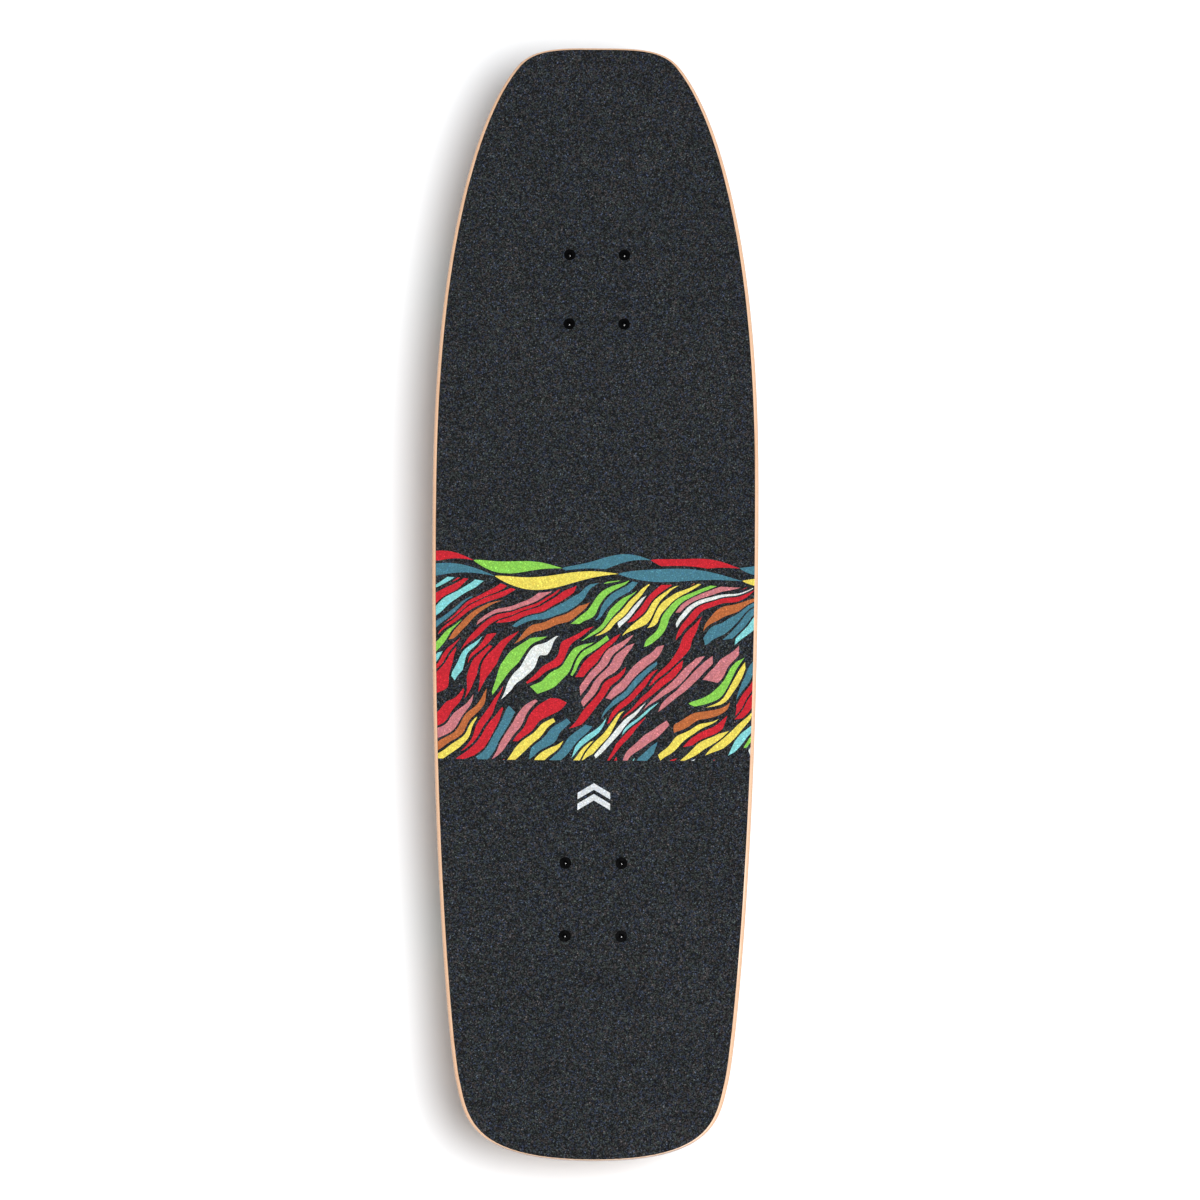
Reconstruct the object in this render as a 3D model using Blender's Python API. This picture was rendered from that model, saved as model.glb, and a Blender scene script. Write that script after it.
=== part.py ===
"""Surf skateboard: deck, grip sheet, two trucks (the front one on a swing arm), wheels and hardware.

Metres, +Z up, +Y toward the nose. The ground is z = 0.
"""

import math

import bmesh
import bpy
from mathutils import Vector

GAP = 0.0003
ROUND = 18

# Deck outline, right half, tail to nose: cubic Bezier segments (x, y).
TAIL_Y = -0.4220
NOSE_Y = 0.4220
OUTLINE = (
    ((0.0, TAIL_Y), (0.0900, TAIL_Y), (0.0926, -0.3902), (0.0986, -0.3650)),
    ((0.0986, -0.3650), (0.1044, -0.3408), (0.1217, -0.1811), (0.1217, 0.0852)),
    ((0.1217, 0.0852), (0.1217, 0.2862), (0.0870, 0.3771), (0.0613, 0.4079)),
    ((0.0613, 0.4079), (0.0490, 0.4227), (0.0270, NOSE_Y), (0.0, NOSE_Y)),
)
OUTLINE_STEPS = (8, 7, 9, 6)
SPINE_HALF = 0.300
RING_SHARES = (0.28, 0.56, 0.80, 0.95)

# Deck section and side profile.
DECK_THICKNESS = 0.0105
GRIP_THICKNESS = 0.0009
EDGE_RADIUS = 0.0024
TOP_EDGE_RADIUS = 0.0008
GRIP_SIDE_INSET = 0.0028
GRIP_NOSE_INSET = 0.0018
GRIP_TAIL_INSET = 0.0009
FLAT_HALF_WIDTH = 0.035
CONCAVE_DEPTH = 0.006
HALF_WIDTH = 0.1217
TAIL_KICK_START = -0.272
TAIL_KICK_SLOPE = math.tan(math.radians(9.0))
NOSE_KICK_START = 0.282
NOSE_KICK_SLOPE = math.tan(math.radians(5.0))
KICK_BLEND = 0.045

# Heights and places of the running gear.
WHEEL_RADIUS = 0.035
FRONT_TRUCK_HEIGHT = 0.070
RISER_THICKNESS = 0.014
DECK_BOTTOM = WHEEL_RADIUS + FRONT_TRUCK_HEIGHT
DECK_TOP = DECK_BOTTOM + DECK_THICKNESS
FRONT_TRUCK_Y = 0.234
REAR_TRUCK_Y = -0.230
HOLE_HALF_X = 0.020638
HOLE_HALF_Y = 0.026988
SCREW_RADIUS = 0.0024
SCREW_HEAD_RADIUS = 0.0045
SCREW_HOLE_RADIUS = 0.0029

# Truck geometry, measured from the centre of the hanger's ring along the kingpin or the lean axis.
KINGPIN_TILT = math.radians(22.0)
LEAN_RISE = math.radians(30.0)
AXLE_OUT = 0.019
AXLE_DOWN = 0.020
RING_HALF = 0.004
SEAT = -0.0197
KINGPIN_RADIUS = 0.00475
KINGPIN_BORE = 0.0053
PIN_RADIUS = 0.0055
PIN_START = 0.0275
CUP_START = 0.0337
AXLE_RADIUS = 0.004
AXLE_HALF = 0.107
BEAM_HALF = 0.0723
SWIVEL_TILT = math.radians(10.0)

# Wheels and bearings, along the axle.
BEARING_RADIUS = 0.011
BEARING_WIDTH = 0.007
BEARING_STARTS = (0.0735, 0.0905)

SLOTS = {
    "maple": ((0.80, 0.60, 0.38), 0.45, 0.0),
    "grip": ((0.035, 0.037, 0.043), 0.95, 0.0),
    "riser_rubber": ((0.030, 0.030, 0.032), 0.70, 0.0),
    "black_steel": ((0.020, 0.020, 0.022), 0.35, 0.8),
    "zinc_steel": ((0.62, 0.63, 0.65), 0.32, 1.0),
    "cast_aluminium": ((0.66, 0.67, 0.69), 0.42, 1.0),
    "urethane_wheel": ((0.86, 0.84, 0.78), 0.50, 0.0),
    "urethane_bushing": ((0.72, 0.10, 0.06), 0.50, 0.0),
    "bearing_steel": ((0.50, 0.51, 0.53), 0.28, 1.0),
    "black_plastic": ((0.025, 0.025, 0.027), 0.55, 0.0),
}


def clear_scene():
    for obj in list(bpy.data.objects):
        bpy.data.objects.remove(obj, do_unlink=True)


def make_material(slot):
    if slot in bpy.data.materials:
        return bpy.data.materials[slot]
    colour, roughness, metallic = SLOTS[slot]
    material = bpy.data.materials.new(slot)
    material.use_nodes = True
    shader = material.node_tree.nodes["Principled BSDF"]
    shader.inputs["Base Color"].default_value = (*colour, 1.0)
    shader.inputs["Roughness"].default_value = roughness
    shader.inputs["Metallic"].default_value = metallic
    return material


def add_object(name, bm, origin, slot, smooth=True):
    bmesh.ops.recalc_face_normals(bm, faces=bm.faces)
    for face in bm.faces:
        face.smooth = smooth and len(face.verts) <= 4
    mesh = bpy.data.meshes.new(name)
    bm.to_mesh(mesh)
    bm.free()
    if slot:
        mesh.materials.append(make_material(slot))
    obj = bpy.data.objects.new(name, mesh)
    obj.location = origin
    bpy.context.collection.objects.link(obj)
    return obj


def hide_tool(obj):
    obj.hide_render = True
    obj.display_type = "WIRE"
    return obj


def combine(obj, tools, operation):
    for tool in tools:
        hide_tool(tool)
        modifier = obj.modifiers.new(operation.lower(), "BOOLEAN")
        modifier.operation = operation
        modifier.solver = "EXACT"
        modifier.object = tool


# Round and six-sided solids around an axis

def shape_radius(shape, radius, angle):
    if shape != "hex":
        return radius
    sector = (angle + math.pi / 6) % (math.pi / 3) - math.pi / 6
    return radius / math.cos(sector)


def axis_basis(direction):
    forward = Vector(direction).normalized()
    helper = Vector((0.0, 0.0, -1.0)) if abs(forward.z) < 0.9 else Vector((1.0, 0.0, 0.0))
    first = (helper - forward * helper.dot(forward)).normalized()
    return forward, first, forward.cross(first)


def turned(name, stations, origin, direction, slot, closed=False, count=ROUND, phase=None):
    """A solid lofted through (radius, distance along the axis, optional "hex") stations."""
    forward, first, second = axis_basis(direction)
    if phase is None:
        phase = (math.pi / 6) % (2 * math.pi / count)
    bm = bmesh.new()
    loops = []
    for radius, distance, *shape in stations:
        loop = []
        for index in range(count):
            angle = phase + 2 * math.pi * index / count
            reach = shape_radius(shape[0] if shape else "round", radius, angle)
            spoke = first * math.cos(angle) + second * math.sin(angle)
            loop.append(bm.verts.new(forward * distance + spoke * reach))
        loops.append(loop)
    join_loops(bm, loops, closed)
    return add_object(name, bm, origin, slot)


def join_loops(bm, loops, closed):
    count = len(loops[0])
    last = len(loops) if closed else len(loops) - 1
    for step in range(last):
        lower = loops[step]
        upper = loops[(step + 1) % len(loops)]
        for index in range(count):
            after = (index + 1) % count
            bm.faces.new((lower[index], lower[after], upper[after], upper[index]))
    if not closed:
        bm.faces.new(loops[0])
        bm.faces.new(loops[-1])


def rod(name, radius, start, end, origin, direction, slot=None, count=ROUND):
    return turned(name, ((radius, start), (radius, end)), origin, direction, slot, count=count)


def disc_points(radius, distance, origin, direction, count=ROUND, keep=None):
    forward, first, second = axis_basis(direction)
    points = []
    for index in range(count):
        angle = 2 * math.pi * index / count
        spoke = first * math.cos(angle) + second * math.sin(angle)
        if keep is None or spoke.dot(keep) > 0.05:
            points.append(Vector(origin) + forward * distance + spoke * radius)
    return points


def hull(name, points, origin, slot=None):
    bm = bmesh.new()
    for point in points:
        bm.verts.new(point - Vector(origin))
    result = bmesh.ops.convex_hull(bm, input=bm.verts)
    inner = {item for item in result["geom_interior"] if isinstance(item, bmesh.types.BMVert)}
    unused = {item for item in result["geom_unused"] if isinstance(item, bmesh.types.BMVert)}
    bmesh.ops.delete(bm, geom=list(inner | unused), context="VERTS")
    return add_object(name, bm, origin, slot, smooth=False)


def slab(name, half_x, half_y, corner, bottom, top, chamfer, origin, slot):
    """A plate with round corners and chamfered rims; bottom and top are measured from the origin."""
    bm = bmesh.new()
    levels = ((bottom, chamfer), (bottom + chamfer, 0.0), (top - chamfer, 0.0), (top, chamfer))
    loops = []
    for height, inset in levels:
        loop = []
        for turn in range(4):
            for step in range(4):
                angle = math.pi / 2 * (turn + step / 3)
                sign_x = 1 if turn in (0, 3) else -1
                sign_y = 1 if turn in (0, 1) else -1
                x = sign_x * (half_x - corner) + (corner - inset) * math.cos(angle)
                y = sign_y * (half_y - corner) + (corner - inset) * math.sin(angle)
                loop.append(bm.verts.new((x, y, height)))
        loops.append(loop)
    join_loops(bm, loops, False)
    return add_object(name, bm, origin, slot, smooth=False)


# Deck and grip sheet

def bezier(points, share):
    a, b, c, d = (Vector(point) for point in points)
    rest = 1 - share
    return a * rest**3 + b * 3 * rest**2 * share + c * 3 * rest * share**2 + d * share**3


def half_outline():
    points = [Vector(OUTLINE[0][0])]
    for segment, steps in zip(OUTLINE, OUTLINE_STEPS):
        points += [bezier(segment, (step + 1) / steps) for step in range(steps)]
    return points


def full_outline():
    right = half_outline()
    left = [Vector((-point.x, point.y)) for point in reversed(right[1:-1])]
    return right + left


def inset_outline(outline, distance):
    moved = []
    for index, point in enumerate(outline):
        along = outline[(index + 1) % len(outline)] - outline[index - 1]
        inward = Vector((-along.y, along.x)).normalized()
        moved.append(point + inward * distance)
    return moved


def ring_toward_spine(outline, share):
    half = len(outline) // 2
    ring = []
    for index, point in enumerate(outline):
        along = min(index, len(outline) - index) / half
        spine_y = SPINE_HALF * (2 * along - 1)
        ring.append(Vector((point.x * share, spine_y * (1 - share) + point.y * share)))
    return ring


def kick(distance, slope):
    if distance <= 0:
        return 0.0
    if distance < KICK_BLEND:
        return slope * distance**2 / (2 * KICK_BLEND)
    return slope * (distance - KICK_BLEND / 2)


def deck_rise(point):
    """How far the deck's surface stands above its flat middle."""
    side = max(0.0, abs(point.x) - FLAT_HALF_WIDTH) / (HALF_WIDTH - FLAT_HALF_WIDTH)
    tail = kick(TAIL_KICK_START - point.y, TAIL_KICK_SLOPE)
    nose = kick(point.y - NOSE_KICK_START, NOSE_KICK_SLOPE)
    return CONCAVE_DEPTH * side**1.8 + tail + nose


def shell_from_rings(name, rings, spine_bottom, spine_top, slot):
    """A closed sheet: rings run from the bottom middle out, round the edge and back to the top."""
    bm = bmesh.new()
    loops = []
    for ring, height in rings:
        loops.append([bm.verts.new((p.x, p.y, height + deck_rise(p))) for p in ring])
    count = len(loops[0])
    half = count // 2
    for step, (lower, upper) in enumerate(zip(loops, loops[1:])):
        # Both faces of the sheet are split the same way, so the grip lies parallel to the deck.
        inner, outer = (lower, upper) if step < len(loops) // 2 else (upper, lower)
        for index in range(count):
            after = (index + 1) % count
            bm.faces.new((inner[index], outer[index], outer[after]))
            bm.faces.new((inner[index], outer[after], inner[after]))
    for loop, height in ((loops[0], spine_bottom), (loops[-1], spine_top)):
        spine = spine_vertices(bm, half, height)
        for index in range(count):
            after = (index + 1) % count
            near = spine[min(index, count - index)]
            far = spine[min(after, count - after)]
            bm.faces.new((loop[index], loop[after], far))
            bm.faces.new((loop[index], far, near))
    return add_object(name, bm, (0.0, 0.0, 0.0), slot)


def spine_vertices(bm, half, height):
    spine = []
    for index in range(half + 1):
        y = SPINE_HALF * (2 * index / half - 1)
        spine.append(bm.verts.new((0.0, y, height + deck_rise(Vector((0.0, y))))))
    return spine


def inner_rings(outline, height):
    return [(ring_toward_spine(outline, share), height) for share in RING_SHARES]


def make_deck():
    outline = full_outline()
    low = DECK_BOTTOM
    high = DECK_TOP
    lower_rim = inset_outline(outline, EDGE_RADIUS)
    lower_chamfer = inset_outline(outline, EDGE_RADIUS * 0.3)
    upper_rim = inset_outline(outline, TOP_EDGE_RADIUS)
    rings = inner_rings(outline, low)
    rings += [(lower_rim, low), (lower_chamfer, low + EDGE_RADIUS * 0.3), (outline, low + EDGE_RADIUS)]
    rings += [(outline, high - TOP_EDGE_RADIUS), (upper_rim, high)]
    rings += reversed(inner_rings(outline, high))
    return shell_from_rings("deck", rings, low, high, "maple")


def grip_outline(outline):
    """The sheet reaches nearer to the deck's edge at the ends than along the sides."""
    moved = []
    for index, point in enumerate(outline):
        along = outline[(index + 1) % len(outline)] - outline[index - 1]
        inward = Vector((-along.y, along.x)).normalized()
        end = GRIP_TAIL_INSET if inward.y > 0 else GRIP_NOSE_INSET
        moved.append(point + inward * (GRIP_SIDE_INSET + (end - GRIP_SIDE_INSET) * inward.y**2))
    return moved


def make_grip():
    outline = full_outline()
    rim = grip_outline(outline)
    low = DECK_TOP + GAP * 0.7
    high = low + GRIP_THICKNESS
    rings = inner_rings(outline, low) + [(rim, low), (rim, high)]
    rings += reversed(inner_rings(outline, high))
    return shell_from_rings("grip_tape", rings, low, high, "grip")


def hole_places():
    places = []
    for truck_y in (FRONT_TRUCK_Y, REAR_TRUCK_Y):
        for sign_y in (1, -1):
            for sign_x in (-1, 1):
                places.append((sign_x * HOLE_HALF_X, truck_y + sign_y * HOLE_HALF_Y))
    return places


def cut_deck_holes(deck, grip):
    up = (0.0, 0.0, 1.0)
    lip = DECK_TOP + GAP / 2
    for index, (x, y) in enumerate(hole_places(), 1):
        through = (
            (SCREW_HOLE_RADIUS, DECK_BOTTOM - 0.005),
            (SCREW_HOLE_RADIUS, DECK_TOP - 0.0017),
            (SCREW_HEAD_RADIUS + 0.0005, lip),
            (SCREW_HEAD_RADIUS + 0.0005, lip + 0.004),
        )
        tool = turned(f"cut_hole_{index}", through, (x, y, 0.0), up, None)
        combine(deck, [tool], "DIFFERENCE")
        combine(grip, [tool], "DIFFERENCE")


def make_screws():
    down = (0.0, 0.0, -1.0)
    top = DECK_TOP + GRIP_THICKNESS - 0.0001
    for index, (x, y) in enumerate(hole_places(), 1):
        front = y > 0
        plate_top = DECK_BOTTOM if front else DECK_BOTTOM - RISER_THICKNESS
        end = top - (plate_top - 0.0141)
        stations = (
            (0.0016, 0.0018, "hex"),
            (0.0016, 0.0, "hex"),
            (SCREW_HEAD_RADIUS, 0.0),
            (SCREW_HEAD_RADIUS, 0.0004),
            (SCREW_RADIUS, 0.0021),
            (SCREW_RADIUS, end - 0.0004),
            (SCREW_RADIUS - 0.0005, end),
        )
        turned(f"deck_screw_{index}", stations, (x, y, top), down, "black_steel", count=12)
        nut = (
            (0.0047, 0.0073, "hex"),
            (0.0047, 0.0113, "hex"),
            (0.0040, 0.0128),
            (SCREW_RADIUS + 0.0004, 0.0128),
            (SCREW_RADIUS + 0.0004, 0.0073),
        )
        origin = (x, y, plate_top)
        turned(f"lock_nut_{index}", nut, origin, down, "zinc_steel", closed=True, count=12)


# Trucks

class Truck:
    """Places one truck: u runs outward from its centre and w down from its mounting face."""

    def __init__(self, name, centre_y, outward, top_z, axle_u, axle_w):
        self.name = name
        self.centre_y = centre_y
        self.outward = outward
        self.top_z = top_z
        self.axle = self.at(axle_u, axle_w)
        self.ring = self.at(axle_u - AXLE_OUT, axle_w - AXLE_DOWN)
        self.kingpin = self.way(-math.sin(KINGPIN_TILT), math.cos(KINGPIN_TILT))
        self.lean = self.way(math.cos(LEAN_RISE), -math.sin(LEAN_RISE))

    def at(self, u, w):
        return Vector((0.0, self.centre_y + self.outward * u, self.top_z - w))

    def way(self, u, w):
        return Vector((0.0, self.outward * u, -w))


def make_base_slab(truck, depth):
    name = f"{truck.name}_base_plate"
    origin = truck.at(0.0, 0.0)
    plate = slab(name, 0.028, 0.040, 0.008, -depth, -GAP, 0.0008, origin, "cast_aluminium")
    tools = []
    for index, (x, y) in enumerate(hole_places(), 1):
        if (y > 0) == (truck.outward > 0):
            place = (x, y, truck.top_z)
            tool = rod(f"cut_{name}_{index}", SCREW_HOLE_RADIUS, -0.03, 0.03, place, (0, 0, 1))
            tools.append(tool)
    return plate, tools


def seat_tools(truck, label):
    """Cuts shared by whatever carries the kingpin and the pivot cup."""
    return [
        rod(f"cut_{label}_kingpin", KINGPIN_BORE, -0.05, 0.0, truck.ring, truck.kingpin),
        rod(f"cut_{label}_head", 0.0090, -0.050, -0.0272, truck.ring, truck.kingpin),
        rod(f"cut_{label}_bushing", 0.0130, SEAT, 0.030, truck.ring, truck.kingpin),
        rod(f"cut_{label}_cup", 0.0088, 0.032, 0.0463, truck.ring, truck.lean),
        rod(f"cut_{label}_pin", 0.0068, 0.0255, 0.0342, truck.ring, truck.lean),
    ]


def pivot_boss_points(truck):
    points = disc_points(0.0125, CUP_START, truck.ring, truck.lean)
    return points + disc_points(0.0120, 0.048, truck.ring, truck.lean)


def patch_points(truck, near, far, half_x, depth):
    corners = []
    for u in (near, far):
        for x in (-half_x, half_x):
            corners.append(truck.at(u, depth) + Vector((x, 0.0, 0.0)))
    return corners


def make_rear_base(truck):
    plate, holes = make_base_slab(truck, 0.0065)
    seat = disc_points(0.0125, SEAT, truck.ring, truck.kingpin)
    seat_boss = hull("add_rear_seat", seat + patch_points(truck, -0.026, 0.009, 0.016, 0.005), truck.ring)
    pivot = pivot_boss_points(truck) + patch_points(truck, 0.010, 0.036, 0.014, 0.005)
    pivot_boss = hull("add_rear_pivot", pivot, truck.ring)
    combine(plate, [seat_boss, pivot_boss], "UNION")
    combine(plate, holes + seat_tools(truck, "rear"), "DIFFERENCE")


def make_front_base(truck, swivel, swivel_way):
    plate, holes = make_base_slab(truck, 0.0070)
    boss = turned("add_front_boss", ((0.0160, -0.0060), (0.0140, 0.0030)), swivel, swivel_way, None)
    combine(plate, [boss], "UNION")
    bore = rod("cut_front_swivel", 0.0056, -0.03, 0.02, swivel, swivel_way)
    head = rod("cut_front_swivel_head", 0.0100, -0.03, -0.0030, swivel, swivel_way)
    combine(plate, holes + [bore, head], "DIFFERENCE")


def make_swing_arm(truck, swivel, swivel_way):
    collar = ((0.0125, 0.0066), (0.0125, 0.0150))
    arm = turned("front_swing_arm", collar, swivel, swivel_way, "cast_aluminium")
    hub = disc_points(0.0170, 0.0138, swivel, swivel_way)
    hub += disc_points(0.0170, 0.0220, swivel, swivel_way)
    block = disc_points(0.0130, -0.0300, truck.ring, truck.kingpin)
    block += disc_points(0.0130, SEAT, truck.ring, truck.kingpin)
    web = hull("add_arm_web", hub + block, truck.ring)
    upward = -truck.way(math.sin(LEAN_RISE), math.cos(LEAN_RISE))
    bridge = disc_points(0.0120, -0.0300, truck.ring, truck.kingpin)
    bridge += disc_points(0.0120, -0.0235, truck.ring, truck.kingpin)
    bridge += disc_points(0.0124, CUP_START + GAP, truck.ring, truck.lean, keep=upward)
    bridge += disc_points(0.0119, 0.046, truck.ring, truck.lean, keep=upward)
    bridge_hull = hull("add_arm_bridge", bridge, truck.ring)
    boss = hull("add_arm_pivot", pivot_boss_points(truck), truck.ring)
    combine(arm, [web, bridge_hull, boss], "UNION")
    bore = rod("cut_arm_swivel", 0.0056, 0.0, 0.04, swivel, swivel_way)
    room = ((0.0133, -0.004), (0.0185, -0.004), (0.0185, 0.0137), (0.0133, 0.0137))
    spring_room = turned("cut_arm_spring", room, swivel, swivel_way, None, closed=True)
    combine(arm, [bore, spring_room] + seat_tools(truck, "front"), "DIFFERENCE")


def make_hanger(truck):
    name = f"{truck.name}_hanger"
    across = Vector((1.0, 0.0, 0.0))
    ring = rod(name, 0.0180, -RING_HALF, RING_HALF, truck.ring, truck.kingpin, "cast_aluminium", 20)
    beam_stations = (
        (0.0078, -BEAM_HALF),
        (0.0085, -0.060),
        (0.0105, -0.012),
        (0.0105, 0.012),
        (0.0085, 0.060),
        (0.0078, BEAM_HALF),
    )
    beam = turned(f"add_{name}_beam", beam_stations, truck.axle, across, None)
    yoke = disc_points(0.0172, -RING_HALF + GAP, truck.ring, truck.kingpin, count=20)
    yoke += disc_points(0.0172, RING_HALF - GAP, truck.ring, truck.kingpin, count=20)
    yoke += disc_points(0.0072, -0.046, truck.axle, across, count=12)
    yoke += disc_points(0.0072, 0.046, truck.axle, across, count=12)
    yoke_hull = hull(f"add_{name}_yoke", yoke, truck.ring)
    web = disc_points(0.0052, 0.0300, truck.ring, truck.lean, count=12)
    web += disc_points(0.0052, 0.0331, truck.ring, truck.lean, count=12)
    web += disc_points(0.0080, -0.009, truck.axle, across, count=12)
    web += disc_points(0.0080, 0.009, truck.axle, across, count=12)
    web_hull = hull(f"add_{name}_web", web, truck.ring)
    pin_stations = (
        (PIN_RADIUS, PIN_START),
        (PIN_RADIUS, 0.0400),
        (0.0046, 0.0424),
        (0.0026, 0.0438),
    )
    pin = turned(f"add_{name}_pin", pin_stations, truck.ring, truck.lean, None)
    combine(ring, [yoke_hull, beam, web_hull, pin], "UNION")
    cuts = [
        rod(f"cut_{name}_bore", 0.0085, -0.02, 0.02, truck.ring, truck.kingpin),
        rod(f"cut_{name}_above", 0.0129, -0.026, -RING_HALF, truck.ring, truck.kingpin),
        rod(f"cut_{name}_below", 0.0129, RING_HALF, 0.032, truck.ring, truck.kingpin),
        rod(f"cut_{name}_axle", AXLE_RADIUS + 0.0003, -0.09, 0.09, truck.axle, across),
    ]
    combine(ring, cuts, "DIFFERENCE")


def make_kingpin_stack(truck):
    name = truck.name
    ring = truck.ring
    way = truck.kingpin
    inner = KINGPIN_RADIUS + 0.0005
    kingpin = (
        (0.0071, -0.0325, "hex"),
        (0.0071, -0.0275, "hex"),
        (KINGPIN_RADIUS, -0.0275),
        (KINGPIN_RADIUS, 0.0275),
        (KINGPIN_RADIUS - 0.0007, 0.0285),
    )
    turned(f"{name}_kingpin", kingpin, ring, way, "zinc_steel")
    top_bushing = ((inner, -0.0173), (0.0110, -0.0173), (0.0118, -0.0108), (0.0110, -0.0043), (inner, -0.0043))
    turned(f"{name}_top_bushing", top_bushing, ring, way, "urethane_bushing", closed=True)
    low_bushing = ((inner, 0.0043), (0.0112, 0.0043), (0.0106, 0.0080), (0.0086, 0.0153), (inner, 0.0153))
    turned(f"{name}_bottom_bushing", low_bushing, ring, way, "urethane_bushing", closed=True)
    top_washer = ((inner, -0.0194), (0.0118, -0.0194), (0.0118, -0.0176), (inner, -0.0176))
    turned(f"{name}_top_washer", top_washer, ring, way, "zinc_steel", closed=True)
    low_washer = ((inner, 0.0156), (0.0100, 0.0156), (0.0100, 0.0174), (inner, 0.0174))
    turned(f"{name}_bottom_washer", low_washer, ring, way, "zinc_steel", closed=True)
    nut = (
        (inner, 0.0177),
        (0.0071, 0.0177, "hex"),
        (0.0071, 0.0232, "hex"),
        (0.0062, 0.0252),
        (inner, 0.0252),
    )
    turned(f"{name}_kingpin_nut", nut, ring, way, "zinc_steel", closed=True)
    cup = (
        (0.0084, 0.0460),
        (0.0084, 0.0340),
        (0.0060, 0.0340),
        (0.0060, 0.0410),
        (0.0052, 0.0432),
        (0.0034, 0.0443),
    )
    turned(f"{name}_pivot_cup", cup, ring, truck.lean, "black_plastic")


def make_swivel(swivel, way):
    bolt = (
        (0.0080, -0.0078, "hex"),
        (0.0080, -0.0033, "hex"),
        (0.0050, -0.0033),
        (0.0050, 0.0305),
        (0.0043, 0.0315),
    )
    turned("front_swivel_bolt", bolt, swivel, way, "zinc_steel")
    nut = ((0.0054, 0.0223), (0.0080, 0.0223, "hex"), (0.0080, 0.0280, "hex"), (0.0070, 0.0298), (0.0054, 0.0298))
    turned("front_swivel_nut", nut, swivel, way, "zinc_steel", closed=True)
    bearing = ((0.0056, 0.0033), (0.0120, 0.0033), (0.0120, 0.0063), (0.0056, 0.0063))
    turned("front_thrust_bearing", bearing, swivel, way, "bearing_steel", closed=True)


def make_spring(swivel, way):
    """Coil around the swivel: a round wire swept along a helix, with flat ends."""
    forward, first, second = axis_basis(way)
    coil_radius = 0.0163
    wire_radius = 0.0013
    start, end = 0.0034, 0.0120
    turns, steps_per_turn, sides = 2.5, 14, 6
    bm = bmesh.new()
    loops = []
    total = int(turns * steps_per_turn)
    for step in range(total + 1):
        share = step / total
        angle = 2 * math.pi * turns * share
        spoke = first * math.cos(angle) + second * math.sin(angle)
        centre = spoke * coil_radius + forward * (start + (end - start) * share)
        loop = []
        for side in range(sides):
            around = 2 * math.pi * side / sides
            offset = spoke * math.cos(around) + forward * math.sin(around)
            loop.append(bm.verts.new(centre + offset * wire_radius))
        loops.append(loop)
    join_loops(bm, loops, False)
    add_object("front_return_spring", bm, swivel, "black_steel")


def make_riser(truck):
    origin = (0.0, REAR_TRUCK_Y, DECK_BOTTOM)
    pad = slab("rear_riser", 0.029, 0.041, 0.009, -RISER_THICKNESS, -GAP, 0.0004, origin, "riser_rubber")
    tools = []
    for index, (x, y) in enumerate(hole_places(), 1):
        if y < 0:
            tools.append(rod(f"cut_riser_{index}", SCREW_HOLE_RADIUS, -0.02, 0.02, (x, y, 0.1), (0, 0, 1)))
    combine(pad, tools, "DIFFERENCE")


# Wheels, bearings, axles

def make_axle(truck):
    stations = (
        (AXLE_RADIUS - 0.0006, -AXLE_HALF),
        (AXLE_RADIUS, -AXLE_HALF + 0.0008),
        (AXLE_RADIUS, AXLE_HALF - 0.0008),
        (AXLE_RADIUS - 0.0006, AXLE_HALF),
    )
    turned(f"{truck.name}_axle", stations, truck.axle, (1.0, 0.0, 0.0), "zinc_steel")


def wheel_stations():
    seat = BEARING_RADIUS + 0.0003
    return (
        (0.0350, 0.0690),
        (0.0350, 0.1020),
        (0.0338, 0.1062),
        (0.0305, 0.1085),
        (0.0245, 0.1085),
        (0.0150, 0.0995),
        (seat, 0.0985),
        (seat, 0.0902),
        (0.0092, 0.0902),
        (0.0092, 0.0808),
        (seat, 0.0808),
        (seat, 0.0728),
        (0.0150, 0.0715),
        (0.0245, 0.0625),
        (0.0305, 0.0625),
        (0.0338, 0.0648),
    )


def make_wheel(truck, side, sign):
    way = (sign, 0.0, 0.0)
    sides = 24
    half_step = math.pi / sides
    stations = [(radius / math.cos(half_step), place) for radius, place in wheel_stations()]
    corner = f"{truck.name}_{side}"
    turned(f"wheel_{corner}", stations, truck.axle, way, "urethane_wheel", True, sides, half_step)
    for label, start in zip(("inner", "outer"), BEARING_STARTS):
        end = start + BEARING_WIDTH
        hole = AXLE_RADIUS + 0.0003
        race = ((hole, start), (BEARING_RADIUS, start), (BEARING_RADIUS, end), (hole, end))
        turned(f"bearing_{corner}_{label}", race, truck.axle, way, "bearing_steel", True, 12)
    nut = (
        (AXLE_RADIUS + 0.0003, 0.0985),
        (0.0065, 0.0985, "hex"),
        (0.0065, 0.1030, "hex"),
        (0.0056, 0.1045),
        (AXLE_RADIUS + 0.0003, 0.1045),
    )
    turned(f"axle_nut_{corner}", nut, truck.axle, way, "zinc_steel", True)


def make_truck_running_gear(truck):
    make_hanger(truck)
    make_axle(truck)
    make_kingpin_stack(truck)
    make_wheel(truck, "right", 1.0)
    make_wheel(truck, "left", -1.0)


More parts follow.
